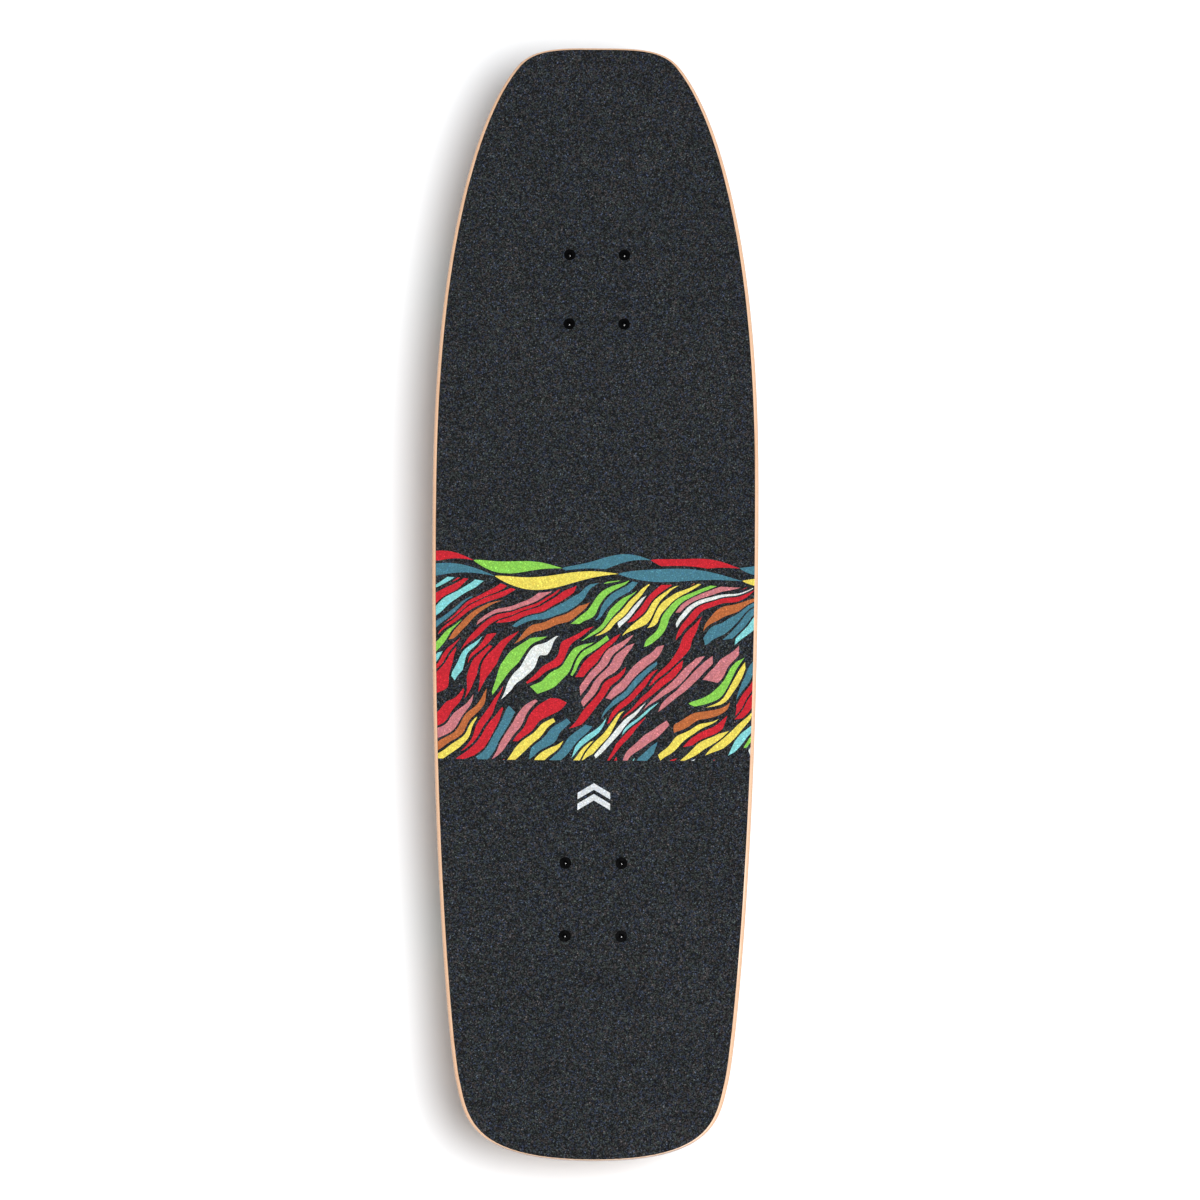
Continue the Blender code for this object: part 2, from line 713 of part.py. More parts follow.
def main():
    clear_scene()
    deck = make_deck()
    grip = make_grip()
    cut_deck_holes(deck, grip)
    make_screws()
    rear_top = DECK_BOTTOM - RISER_THICKNESS
    rear_drop = rear_top - WHEEL_RADIUS
    front = Truck("front", FRONT_TRUCK_Y, 1.0, DECK_BOTTOM, 0.031, FRONT_TRUCK_HEIGHT)
    rear = Truck("rear", REAR_TRUCK_Y, -1.0, rear_top, 0.003, rear_drop)
    swivel = front.at(-0.014, 0.010)
    swivel_way = front.way(-math.sin(SWIVEL_TILT), math.cos(SWIVEL_TILT))
    make_riser(rear)
    make_rear_base(rear)
    make_front_base(front, swivel, swivel_way)
    make_swing_arm(front, swivel, swivel_way)
    make_swivel(swivel, swivel_way)
    make_spring(swivel, swivel_way)
    make_truck_running_gear(front)
    make_truck_running_gear(rear)


main()
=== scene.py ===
"""Looks of the surf skateboard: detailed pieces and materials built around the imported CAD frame.

Metres, +Z up, +Y toward the nose. Each piece stands for the CAD nodes that it replaces.
"""

import math

import bmesh
import bpy
from mathutils import Matrix, Vector


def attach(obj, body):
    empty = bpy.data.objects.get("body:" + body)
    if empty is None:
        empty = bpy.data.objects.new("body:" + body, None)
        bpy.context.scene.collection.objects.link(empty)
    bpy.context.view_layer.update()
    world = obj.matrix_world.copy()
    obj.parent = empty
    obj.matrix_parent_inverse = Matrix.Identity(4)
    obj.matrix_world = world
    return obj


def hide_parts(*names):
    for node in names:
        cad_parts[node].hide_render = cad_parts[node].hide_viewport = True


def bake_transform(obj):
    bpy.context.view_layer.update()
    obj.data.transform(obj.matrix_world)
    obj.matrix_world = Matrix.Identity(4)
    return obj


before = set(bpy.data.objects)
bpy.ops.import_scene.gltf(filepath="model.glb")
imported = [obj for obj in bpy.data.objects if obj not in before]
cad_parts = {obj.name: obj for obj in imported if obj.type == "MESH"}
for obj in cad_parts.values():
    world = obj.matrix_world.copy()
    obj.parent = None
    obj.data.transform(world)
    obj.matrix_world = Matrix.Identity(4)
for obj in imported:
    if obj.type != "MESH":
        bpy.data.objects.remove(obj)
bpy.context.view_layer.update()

GAP = 0.0003
UP = (0.0, 0.0, 1.0)
DOWN = (0.0, 0.0, -1.0)
ACROSS = Vector((1.0, 0.0, 0.0))
ORIGIN = (0.0, 0.0, 0.0)
SMOOTH_ANGLE = math.radians(32.0)
FINE = 72

# Deck outline, right half, tail to nose: cubic Bezier segments (x, y).
END_Y = 0.4220
OUTLINE = (
    ((0.0, -END_Y), (0.0900, -END_Y), (0.0926, -0.3902), (0.0986, -0.3650)),
    ((0.0986, -0.3650), (0.1044, -0.3408), (0.1217, -0.1811), (0.1217, 0.0852)),
    ((0.1217, 0.0852), (0.1217, 0.2862), (0.0870, 0.3771), (0.0613, 0.4079)),
    ((0.0613, 0.4079), (0.0490, 0.4227), (0.0270, END_Y), (0.0, END_Y)),
)
OUTLINE_STEPS = (24, 26, 32, 20)
SPINE_HALF = 0.300
RING_SHARES = (0.14, 0.28, 0.42, 0.56, 0.68, 0.80, 0.88, 0.95)

# Deck section and side profile.
DECK_THICKNESS = 0.0105
GRIP_THICKNESS = 0.0009
EDGE_RADIUS = 0.0024
GRIP_SIDE_INSET = 0.0028
GRIP_NOSE_INSET = 0.0018
GRIP_TAIL_INSET = 0.0005
EDGE_STEPS = 5
FLAT_HALF_WIDTH = 0.035
CONCAVE_DEPTH = 0.006
HALF_WIDTH = 0.1217
TAIL_KICK = (-0.272, math.tan(math.radians(9.0)))
NOSE_KICK = (0.282, math.tan(math.radians(5.0)))
KICK_BLEND = 0.045

# Running gear.
WHEEL_RADIUS = 0.035
DECK_BOTTOM = 0.105
DECK_TOP = DECK_BOTTOM + DECK_THICKNESS
RISER_THICKNESS = 0.014
RISER_SHAPE = (0.029, 0.041, 0.010)
RISER_RIM = 0.0006
RISER_GROOVE = 0.0006
PLATE_SHAPE = (0.0279, 0.0399, 0.009)
TRUCK_Y = {"front": 0.234, "rear": -0.230}
HOLE_HALF_X = 0.020638
HOLE_HALF_Y = 0.026988
SCREW_RADIUS = 0.0024
SCREW_HEAD_RADIUS = 0.0045
SCREW_HOLE_RADIUS = 0.0029
KINGPIN_TILT = math.radians(22.0)
LEAN_RISE = math.radians(30.0)
AXLE_OUT = 0.019
AXLE_DOWN = 0.020
RING_HALF = 0.004
SEAT = -0.0197
KINGPIN_RADIUS = 0.00475
AXLE_RADIUS = 0.004
AXLE_HALF = 0.107
BEAM_HALF = 0.0723
SWIVEL_TILT = math.radians(10.0)
SWIVEL_RADIUS = 0.0050
SCREW_HEX = 0.0094
KINGPIN_HEX = 0.0142
SWIVEL_HEX = 0.0160
AXLE_HEX = 0.0130
CHAMFER = 0.0012
BEARING_RADIUS = 0.011
BEARING_STARTS = (0.0735, 0.0905)
BEARING_WIDTH = 0.007
VOXEL = 0.0007

# Printed band on the grip, across the whole width, and the small mark behind it.
BAND_TAIL = -0.1265
BAND_NOSE = 0.0270
MARK_Y = -0.154
INK_LEVEL = 0.66
STROKE_WIDTH = 0.0090
STROKE_ROWS = 3.1
STROKE_GAP = 0.105
STROKE_TAPER = 0.42
STROKE_RANDOMNESS = 0.82
STROKES_KEPT = 0.94
STROKE_ROOF = 0.020
FLOW_SWIRLS = ((11.0, 0.054), (30.0, 0.017))
FLOW_LEAN = 0.100
FLOW_BEND = 0.060
# Rows of leaf shapes: distance below the band's nose end, leaf length, phase, half height.
CREST_ROWS = ((0.0055, 0.066, 5.37, 0.0046), (0.0150, 0.092, 9.81, 0.0050))
CREST_WAVE = 0.150
CREST_SWING = 0.0035
CREST_MARGIN = 0.0022
CHEVRON_SLOPE = 0.6
CHEVRON_STEP = 0.0080
CHEVRON_HALF_LINE = 0.0024
CHEVRON_HALF_WIDTH = 0.0120
GRAIN_SCALE = 1350.0
TINT_SCALE = 620.0
STROKE_INKS = (
    (0.00, (204, 40, 52)),
    (0.31, (240, 220, 96)),
    (0.43, (74, 126, 144)),
    (0.55, (204, 124, 130)),
    (0.67, (140, 208, 84)),
    (0.78, (232, 236, 234)),
    (0.87, (190, 108, 62)),
    (0.95, (134, 212, 214)),
)
CREST_INKS = (
    (0.00, (140, 208, 84)),
    (0.30, (240, 220, 96)),
    (0.52, (74, 126, 144)),
    (0.78, (204, 40, 52)),
)

# Camera, from the tail side and a little off straight down.
CAMERA_TARGET = Vector((0.0037, -0.0055, 0.1165))
CAMERA_DISTANCE = 3.379
CAMERA_TILT = math.radians(12.0)
CAMERA_ROLL = math.radians(0.33)
CAMERA_LENS = 136.4

# Light: one soft lamp overhead, and the white world.
KEY_PLACE = (0.53, -0.50, 3.00)
KEY_AIM = (0.0, 0.0, 0.1)
KEY_SIZE = 1.20
KEY_POWER = 113.0
WORLD_STRENGTH = 0.36


# Node helpers

def linear(red, green, blue):
    """Display values from 0 to 255 as a linear colour."""
    channels = []
    for value in (red, green, blue):
        share = value / 255
        channels.append(share / 12.92 if share <= 0.04045 else ((share + 0.055) / 1.055) ** 2.4)
    return (*channels, 1.0)


def new_material(name):
    material = bpy.data.materials.new(name)
    material.use_nodes = True
    tree = material.node_tree
    return material, tree, tree.nodes["Principled BSDF"]


def plug(tree, socket, value):
    if isinstance(value, bpy.types.NodeSocket):
        tree.links.new(value, socket)
    else:
        socket.default_value = value


def add_node(tree, kind, inputs=None, **settings):
    node = tree.nodes.new(kind)
    for key, value in settings.items():
        setattr(node, key, value)
    for key, value in (inputs or {}).items():
        plug(tree, node.inputs[key], value)
    return node


def calc(tree, operation, *values, kind="ShaderNodeMath"):
    return add_node(tree, kind, dict(enumerate(values)), operation=operation).outputs[0]


def vector_calc(tree, operation, *values):
    return calc(tree, operation, *values, kind="ShaderNodeVectorMath")


def between(tree, value, low, high):
    """1 where the value lies between low and high, else 0."""
    above = calc(tree, "GREATER_THAN", value, low)
    return calc(tree, "MULTIPLY", above, calc(tree, "LESS_THAN", value, high))


def ramp(tree, factor, stops, interpolation="LINEAR"):
    node = add_node(tree, "ShaderNodeValToRGB", {"Fac": factor})
    elements = node.color_ramp.elements
    node.color_ramp.interpolation = interpolation
    while len(elements) < len(stops):
        elements.new(0.5)
    for element, (place, colour) in zip(elements, stops):
        element.position = place
        element.color = colour
    return node.outputs["Color"]


def mix(tree, factor, first, second, blend="MIX"):
    node = add_node(tree, "ShaderNodeMix", data_type="RGBA", blend_type=blend)
    plug(tree, node.inputs[0], factor)
    plug(tree, node.inputs[6], first)
    plug(tree, node.inputs[7], second)
    return node.outputs[2]


def spread(tree, value, low, high, new_low, new_high):
    inputs = {"Value": value, 1: low, 2: high, 3: new_low, 4: new_high}
    return add_node(tree, "ShaderNodeMapRange", inputs).outputs[0]


def object_place(tree):
    """Object coordinates in metres."""
    return add_node(tree, "ShaderNodeTexCoord").outputs["Object"]


def place_scaled(tree, scale):
    """Object coordinates in metres, stretched by scale along each axis."""
    return add_node(tree, "ShaderNodeMapping", {"Vector": object_place(tree), "Scale": scale}).outputs[0]


def axes_of(tree, vector):
    outputs = add_node(tree, "ShaderNodeSeparateXYZ", {"Vector": vector}).outputs
    return outputs["X"], outputs["Y"]


def cell_numbers(tree, cells):
    """Three random numbers from 0 to 1 for each Voronoi cell."""
    return add_node(tree, "ShaderNodeSeparateColor", {"Color": cells.outputs["Color"]}).outputs


def noise(tree, scale, detail, roughness=0.55, vector=None, output="Fac"):
    inputs = {"Scale": scale, "Detail": detail, "Roughness": roughness}
    inputs["Vector"] = vector or object_place(tree)
    return add_node(tree, "ShaderNodeTexNoise", inputs).outputs[output]


def bump(tree, shader, height, strength, distance):
    inputs = {"Height": height, "Strength": strength, "Distance": distance}
    plug(tree, shader.inputs["Normal"], add_node(tree, "ShaderNodeBump", inputs).outputs[0])


# Materials

def metal_material(name, colour, roughness, grain, depth, metallic=1.0):
    """Metal whose roughness, tone and surface vary at the grain's scale."""
    material, tree, shader = new_material(name)
    fine = noise(tree, grain, 6.0, 0.6)
    broad = noise(tree, 70.0, 3.0)
    dark = [channel * 0.72 for channel in colour[:3]] + [1.0]
    tone = calc(tree, "ADD", calc(tree, "MULTIPLY", fine, 0.5), calc(tree, "MULTIPLY", broad, 0.5))
    plug(tree, shader.inputs["Base Color"], ramp(tree, tone, ((0.30, dark), (0.62, colour))))
    plug(tree, shader.inputs["Roughness"], spread(tree, tone, 0.3, 0.7, roughness * 1.35, roughness * 0.8))
    shader.inputs["Metallic"].default_value = metallic
    bump(tree, shader, fine, 0.35, depth)
    return material


def plastic_material(name, colour, roughness, grain, depth, subsurface=0.0, coat=0.0):
    """Urethane, rubber or nylon with faint mottling and a fine moulded surface."""
    material, tree, shader = new_material(name)
    fine = noise(tree, grain, 5.0, 0.6)
    broad = noise(tree, 45.0, 3.0)
    dark = [channel * 0.80 for channel in colour[:3]] + [1.0]
    plug(tree, shader.inputs["Base Color"], ramp(tree, broad, ((0.30, dark), (0.60, colour))))
    plug(tree, shader.inputs["Roughness"], spread(tree, fine, 0.3, 0.7, roughness * 1.2, roughness * 0.85))
    shader.inputs["Subsurface Weight"].default_value = subsurface
    shader.inputs["Subsurface Radius"].default_value = (0.004, 0.003, 0.002)
    shader.inputs["Coat Weight"].default_value = coat
    shader.inputs["Coat Roughness"].default_value = 0.15
    bump(tree, shader, fine, 0.3, depth)
    return material


def black_material(name, gloss):
    """Black screw finish: gloss sets how much of the light it mirrors."""
    material, tree, shader = new_material(name)
    wear = noise(tree, 500.0, 5.0, 0.6)
    dark, pale = (0.0008, 0.0008, 0.0010, 1.0), (0.0022, 0.0022, 0.0025, 1.0)
    plug(tree, shader.inputs["Base Color"], ramp(tree, wear, ((0.35, dark), (0.75, pale))))
    plug(tree, shader.inputs["Roughness"], spread(tree, wear, 0.3, 0.7, 0.10, 0.17))
    shader.inputs["Specular IOR Level"].default_value = gloss
    bump(tree, shader, wear, 0.2, 0.00002)
    return material


def maple_material():
    """Seven-ply maple: veneer grain on the faces, plies along the edge, and painted shade on the tail's end.
    """
    material, tree, shader = new_material("maple_ply")
    layer = add_node(tree, "ShaderNodeAttribute", attribute_name="layer").outputs["Fac"]
    long_grain = noise(tree, 1.0, 8.0, 0.62, place_scaled(tree, (420.0, 14.0, 300.0)))
    figure = noise(tree, 1.0, 3.0, 0.5, place_scaled(tree, (38.0, 5.0, 30.0)))
    light = linear(216, 178, 146)
    deep = linear(186, 142, 106)
    veneer = ramp(tree, long_grain, ((0.30, deep), (0.55, light), (0.75, linear(226, 192, 162))))
    veneer = mix(tree, spread(tree, figure, 0.35, 0.7, 0.0, 0.35), veneer, linear(198, 152, 116))
    plies = (
        (0.000, linear(206, 160, 124)),
        (0.143, linear(150, 92, 62)),
        (0.286, linear(212, 166, 128)),
        (0.428, linear(204, 158, 120)),
        (0.571, linear(142, 86, 58)),
        (0.714, linear(212, 168, 132)),
        (0.857, linear(218, 178, 146)),
    )
    edge = ramp(tree, layer, plies, "CONSTANT")
    end_grain = noise(tree, 900.0, 4.0, 0.7)
    edge = mix(tree, spread(tree, end_grain, 0.35, 0.75, 0.0, 0.35), edge, linear(138, 90, 58))
    share = calc(tree, "MULTIPLY", layer, 7.0)
    seam = calc(tree, "ABSOLUTE", calc(tree, "SUBTRACT", calc(tree, "FRACT", share), 0.5))
    glue = calc(tree, "GREATER_THAN", seam, 0.455)
    edge = mix(tree, calc(tree, "MULTIPLY", glue, 0.55), edge, linear(96, 60, 40))
    # Painted shade: the edge's colour darkens towards the tail's end, standing in for the shade on that end
    # face.
    y = axes_of(tree, object_place(tree))[1]
    tail_end_shade = spread(tree, y, -END_Y + 0.006, -END_Y + 0.016, 0.55, 0.0)
    edge = mix(tree, tail_end_shade, edge, linear(88, 56, 36))
    side = between(tree, layer, 0.012, 0.988)
    plug(tree, shader.inputs["Base Color"], mix(tree, side, veneer, edge))
    plug(tree, shader.inputs["Roughness"], spread(tree, long_grain, 0.3, 0.7, 0.50, 0.36))
    shader.inputs["Coat Weight"].default_value = 0.25
    shader.inputs["Coat Roughness"].default_value = 0.22
    bump(tree, shader, long_grain, 0.25, 0.0002)
    return material


def grip_grains(tree):
    """Per-grain random values: (tone factor, tint colour, relief)."""
    coords = object_place(tree)
    grains = add_node(tree, "ShaderNodeTexVoronoi", {"Vector": coords, "Scale": GRAIN_SCALE})
    numbers = cell_numbers(tree, grains)
    tone = calc(tree, "POWER", numbers[0], 2.2)
    tone = spread(tree, tone, 0.0, 1.0, 0.18, 2.60)
    glint = calc(tree, "GREATER_THAN", numbers[1], 0.975)
    tone = calc(tree, "ADD", tone, calc(tree, "MULTIPLY", glint, 3.5))
    patches = add_node(tree, "ShaderNodeTexVoronoi", {"Vector": coords, "Scale": TINT_SCALE})
    tint = ramp(tree, cell_numbers(tree, patches)[2], (
        (0.00, (0.74, 0.90, 1.38, 1.0)),
        (0.25, (0.86, 1.06, 1.14, 1.0)),
        (0.50, (0.94, 1.10, 0.84, 1.0)),
        (0.75, (1.06, 1.00, 0.98, 1.0)),
        (1.00, (1.22, 1.00, 0.80, 1.0)),
    ))
    return tone, tint, grains.outputs["Distance"]


def ink(red, green, blue):
    """A printed colour: dulled, because the studio light is brighter than plain white."""
    return (*[channel * INK_LEVEL for channel in linear(red, green, blue)[:3]], 1.0)


def ink_ramp(tree, number, stops):
    return ramp(tree, number, [(place, ink(*colour)) for place, colour in stops], "CONSTANT")


def flow_space(tree, coords):
    """Coordinates that follow the band's strokes: across them and along them, in cells."""
    place = coords
    for scale, reach in FLOW_SWIRLS:
        swirl = noise(tree, scale, 1.0, 0.5, coords, "Color")
        push = vector_calc(tree, "SUBTRACT", swirl, (0.5, 0.5, 0.5))
        place = vector_calc(tree, "MULTIPLY_ADD", push, (reach, reach * 0.8, 0.0), place)
    x, y = axes_of(tree, place)
    rise = calc(tree, "DIVIDE", calc(tree, "SUBTRACT", y, BAND_TAIL), BAND_NOSE - BAND_TAIL)
    bend = calc(tree, "POWER", calc(tree, "MAXIMUM", rise, 0.0), 3.0)
    lean = calc(tree, "MULTIPLY", rise, FLOW_LEAN)
    shift = calc(tree, "ADD", lean, calc(tree, "MULTIPLY", bend, FLOW_BEND))
    across = calc(tree, "DIVIDE", calc(tree, "SUBTRACT", x, shift), STROKE_WIDTH)
    along = calc(tree, "MULTIPLY", rise, STROKE_ROWS)
    return add_node(tree, "ShaderNodeCombineXYZ", {"X": across, "Y": along}).outputs[0]


def leaf_row(tree, x, y, middle, length, phase, tall):
    """A row of lens shapes end to end: (number of each leaf from 0 to 1, distance inside its outline)."""
    share = calc(tree, "ADD", calc(tree, "DIVIDE", x, length), phase)
    inside = calc(tree, "FRACT", share)
    inputs = {"W": calc(tree, "FLOOR", share)}
    number = add_node(tree, "ShaderNodeTexWhiteNoise", inputs, noise_dimensions="1D")
    lean = calc(tree, "POWER", inside, 0.75)
    belly = calc(tree, "SINE", calc(tree, "MULTIPLY", lean, math.pi))
    sway = calc(tree, "SINE", calc(tree, "MULTIPLY", inside, 2 * math.pi))
    centre = calc(tree, "MULTIPLY_ADD", sway, -0.0022, middle)
    distance = calc(tree, "ABSOLUTE", calc(tree, "SUBTRACT", y, centre))
    return number.outputs["Value"], calc(tree, "SUBTRACT", calc(tree, "MULTIPLY", belly, tall), distance)


def band_ink(tree):
    """Colour and coverage of the printed strokes, with rows of leaf shapes along the upper edge."""
    coords = object_place(tree)
    vector = flow_space(tree, coords)
    inputs = {"Vector": vector, "Scale": 1.0, "Randomness": STROKE_RANDOMNESS}
    cells = add_node(tree, "ShaderNodeTexVoronoi", inputs, voronoi_dimensions="2D")
    rims = add_node(tree, "ShaderNodeTexVoronoi", inputs, voronoi_dimensions="2D", feature="DISTANCE_TO_EDGE")
    numbers = cell_numbers(tree, cells)
    colour = ink_ramp(tree, numbers[0], STROKE_INKS)
    reach = axes_of(tree, vector_calc(tree, "SUBTRACT", vector, cells.outputs["Position"]))[1]
    taper = calc(tree, "MULTIPLY_ADD", calc(tree, "MULTIPLY", reach, reach), STROKE_TAPER, STROKE_GAP)
    stroke = calc(tree, "GREATER_THAN", rims.outputs["Distance"], taper)
    kept = calc(tree, "LESS_THAN", numbers[1], STROKES_KEPT)
    x, y = axes_of(tree, coords)
    wave = calc(tree, "SINE", calc(tree, "MULTIPLY", x, 2 * math.pi / CREST_WAVE))
    roof = calc(tree, "MULTIPLY_ADD", wave, CREST_SWING, BAND_NOSE - STROKE_ROOF)
    inside = between(tree, y, BAND_TAIL, roof)
    cover = calc(tree, "MULTIPLY", calc(tree, "MULTIPLY", stroke, kept), inside)
    for drop, length, phase, tall in CREST_ROWS:
        middle = calc(tree, "MULTIPLY_ADD", wave, CREST_SWING, BAND_NOSE - drop)
        number, depth = leaf_row(tree, x, y, middle, length, phase, tall)
        leaf = calc(tree, "GREATER_THAN", depth, 0.0)
        near = calc(tree, "GREATER_THAN", depth, -CREST_MARGIN)
        colour = mix(tree, leaf, colour, ink_ramp(tree, number, CREST_INKS))
        cover = calc(tree, "MAXIMUM", leaf, calc(tree, "MULTIPLY", cover, calc(tree, "SUBTRACT", 1.0, near)))
    return colour, cover


def mark_cover(tree):
    """A plain double chevron, pointing to the nose."""
    x, y = axes_of(tree, object_place(tree))
    side = calc(tree, "ABSOLUTE", x)
    height = calc(tree, "MULTIPLY_ADD", side, CHEVRON_SLOPE, calc(tree, "SUBTRACT", y, MARK_Y))
    upper = calc(tree, "ABSOLUTE", calc(tree, "SUBTRACT", height, CHEVRON_STEP))
    nearest = calc(tree, "MINIMUM", upper, calc(tree, "ABSOLUTE", height))
    line = calc(tree, "LESS_THAN", nearest, CHEVRON_HALF_LINE)
    return calc(tree, "MULTIPLY", line, calc(tree, "LESS_THAN", side, CHEVRON_HALF_WIDTH))


def grip_material():
    material, tree, shader = new_material("grit_sheet")
    tone, tint, relief = grip_grains(tree)
    patch = noise(tree, 9.0, 3.0)
    ground = ramp(tree, patch, ((0.3, (0.0150, 0.0161, 0.0192, 1.0)), (0.7, (0.0178, 0.0184, 0.0214, 1.0))))
    colour, cover = band_ink(tree)
    colour = mix(tree, cover, ground, colour)
    mark = mark_cover(tree)
    colour = mix(tree, mark, colour, ink(222, 226, 230))
    printed = calc(tree, "MAXIMUM", cover, mark)
    calm = spread(tree, printed, 0.0, 1.0, 1.0, 0.20)
    factor = calc(tree, "MULTIPLY_ADD", calc(tree, "SUBTRACT", tone, 1.0), calm, 1.0)
    colour = mix(tree, calm, colour, mix(tree, 1.0, colour, tint, "MULTIPLY"))
    scaled = add_node(tree, "ShaderNodeVectorMath", {0: colour, "Scale": factor}, operation="SCALE")
    plug(tree, shader.inputs["Base Color"], scaled.outputs[0])
    plug(tree, shader.inputs["Roughness"], spread(tree, relief, 0.0, 0.7, 0.72, 0.98))
    shader.inputs["Specular IOR Level"].default_value = 0.12
    bump(tree, shader, relief, 0.55, 0.0003)
    return material


def wheel_material():
    """Cast urethane, a little dusty on the tread."""
    material = plastic_material("cast_urethane", linear(232, 226, 208), 0.48, 900.0, 0.00005, 0.12)
    tree = material.node_tree
    shader = tree.nodes["Principled BSDF"]
    speck = noise(tree, 260.0, 6.0, 0.7)
    clean = shader.inputs["Base Color"].links[0].from_socket
    dusty = mix(tree, spread(tree, speck, 0.52, 0.72, 0.0, 0.35), clean, linear(176, 168, 150))
    plug(tree, shader.inputs["Base Color"], dusty)
    return material


def make_materials():
    steel = linear(186, 189, 193)
    aluminium = linear(200, 202, 205)
    return {
        "maple": maple_material(),
        "grip": grip_material(),
        "cast": metal_material("cast_aluminium_skin", aluminium, 0.40, 420.0, 0.00012),
        "machined": metal_material("machined_aluminium", linear(212, 214, 216), 0.24, 900.0, 0.00003),
        "zinc": metal_material("zinc_plate", steel, 0.30, 700.0, 0.00003),
        "race": metal_material("ground_steel", linear(205, 207, 210), 0.16, 1200.0, 0.00001),
        "black_steel": black_material("black_oxide", 0.04),
        "worn_socket": black_material("worn_black", 0.85),
        "spring": metal_material("spring_black", linear(48, 48, 52), 0.36, 500.0, 0.00004, 0.6),
        "rubber": plastic_material("riser_pad", linear(40, 40, 43), 0.70, 1100.0, 0.00010),
        "shield": plastic_material("bearing_shield", linear(30, 31, 34), 0.45, 900.0, 0.00003),
        "core": plastic_material("wheel_core", linear(44, 46, 52), 0.42, 700.0, 0.00005),
        "nylon": plastic_material("nylon_ring", linear(52, 92, 168), 0.45, 600.0, 0.00004, 0.05),
        "bushing": plastic_material("bushing_urethane", linear(196, 62, 44), 0.34, 600.0, 0.00005, 0.1, 0.15),
        "cup": plastic_material("pivot_cup_skin", linear(26, 26, 29), 0.50, 700.0, 0.00005),
        "wheel": wheel_material(),
    }


# Mesh helpers

def link_mesh(name, bm):
    """A scene object that holds bm, which is freed."""
    mesh = bpy.data.meshes.new(name)
    bm.to_mesh(mesh)
    bm.free()
    obj = bpy.data.objects.new(name, mesh)
    bpy.context.collection.objects.link(obj)
    return obj


def smooth_by_angle(mesh):
    mesh.shade_smooth()
    mesh.set_sharp_from_angle(angle=SMOOTH_ANGLE)


def finish_mesh(name, bm, origin, material):
    bmesh.ops.recalc_face_normals(bm, faces=bm.faces)
    obj = link_mesh(name, bm)
    obj.location = origin
    smooth_by_angle(obj.data)
    if material:
        obj.data.materials.append(material)
    return obj


def freeze(obj):
    """Applies the modifiers, so the mesh is final."""
    graph = bpy.context.evaluated_depsgraph_get()
    mesh = bpy.data.meshes.new_from_object(obj.evaluated_get(graph))
    obj.modifiers.clear()
    obj.data = mesh
    smooth_by_angle(mesh)


def cut(obj, tools):
    """Cuts the tools out of the piece and removes them."""
    for tool in tools:
        modifier = obj.modifiers.new("cut", "BOOLEAN")
        modifier.operation = "DIFFERENCE"
        modifier.solver = "EXACT"
        modifier.object = tool
    freeze(obj)
    for tool in tools:
        bpy.data.objects.remove(tool, do_unlink=True)


def axis_basis(direction):
    forward = Vector(direction).normalized()
    helper = Vector(DOWN) if abs(forward.z) < 0.9 else ACROSS
    first = (helper - forward * helper.dot(forward)).normalized()
    return forward, first, forward.cross(first)


def spokes(direction, count):
    """The axis, and (angle, unit vector) for each of count directions square to it."""
    forward, first, second = axis_basis(direction)
    angles = [2 * math.pi * index / count for index in range(count)]
    return forward, [(angle, first * math.cos(angle) + second * math.sin(angle)) for angle in angles]


def soften(points, radius, closed, steps=3):
    """Rounds the corners of a (radius, distance) profile."""
    count = len(points)
    rounded = []
    for index, (r, h, *hexed) in enumerate(points):
        if hexed or (not closed and index in (0, count - 1)):
            rounded.append((r, h, *hexed))
            continue
        corner = Vector((r, h))
        before = Vector(points[index - 1][:2]) - corner
        after = Vector(points[(index + 1) % count][:2]) - corner
        reach = min(radius, before.length * 0.45, after.length * 0.45)
        start = corner + before.normalized() * reach
        end = corner + after.normalized() * reach
        for step in range(steps + 1):
            share = step / steps
            point = start * (1 - share) ** 2 + corner * 2 * share * (1 - share) + end * share**2
            rounded.append((point.x, point.y))
    return rounded


def station_radius(station, angle):
    """Round stations have (r, h). Six-sided ones have (half the width across flats, h, largest radius)."""
    if len(station) < 3:
        return station[0]
    sector = (angle + math.pi / 6) % (math.pi / 3) - math.pi / 6
    return min(station[0] / math.cos(sector), station[2])


def turned(name, stations, origin, direction, material, closed=False, count=FINE, round_by=0.0):
    """A piece of revolution: the stations' profile is closed into a ring, or capped at both ends."""
    if round_by:
        stations = soften(stations, round_by, closed)
    forward, ways = spokes(direction, count)
    loops = []
    for station in stations:
        loops.append([forward * station[1] + way * station_radius(station, angle) for angle, way in ways])
    return loft(name, loops, origin, material, closed)


def skin(bm, loops):
    """Quads from each loop of vertices to the next."""
    count = len(loops[0])
    for lower, upper in zip(loops, loops[1:]):
        for index in range(count):
            after = (index + 1) % count
            bm.faces.new((lower[index], lower[after], upper[after], upper[index]))


def loft(name, loops, origin, material, closed=False):
    """A piece skinned over loops of points, closed into a ring or capped at both ends."""
    bm = bmesh.new()
    loops = [[bm.verts.new(point) for point in loop] for loop in loops]
    skin(bm, loops + loops[:1] if closed else loops)
    if not closed:
        bm.faces.new(loops[0])
        bm.faces.new(loops[-1])
    return finish_mesh(name, bm, origin, material)


def ring_profile(inner, outer, start, end):
    return ((inner, start), (outer, start), (outer, end), (inner, end))


def hex_stations(across, start, end):
    """A nut's or bolt head's sides, with the round chamfer that turning leaves on its corners."""
    half = across / 2
    corner = half / math.cos(math.pi / 6)
    narrow = half * 0.97
    rows = [(CHAMFER * share * 0.8, narrow + (corner - narrow) * share) for share in (0.0, 0.5, 1.0)]
    lower = [(half, start + rise, radius) for rise, radius in rows]
    return lower + [(half, end - rise, radius) for rise, radius in reversed(rows)]


def rod(radius, start, end, origin, direction, count=48):
    return turned("tool", ((radius, start), (radius, end)), origin, direction, None, count=count)


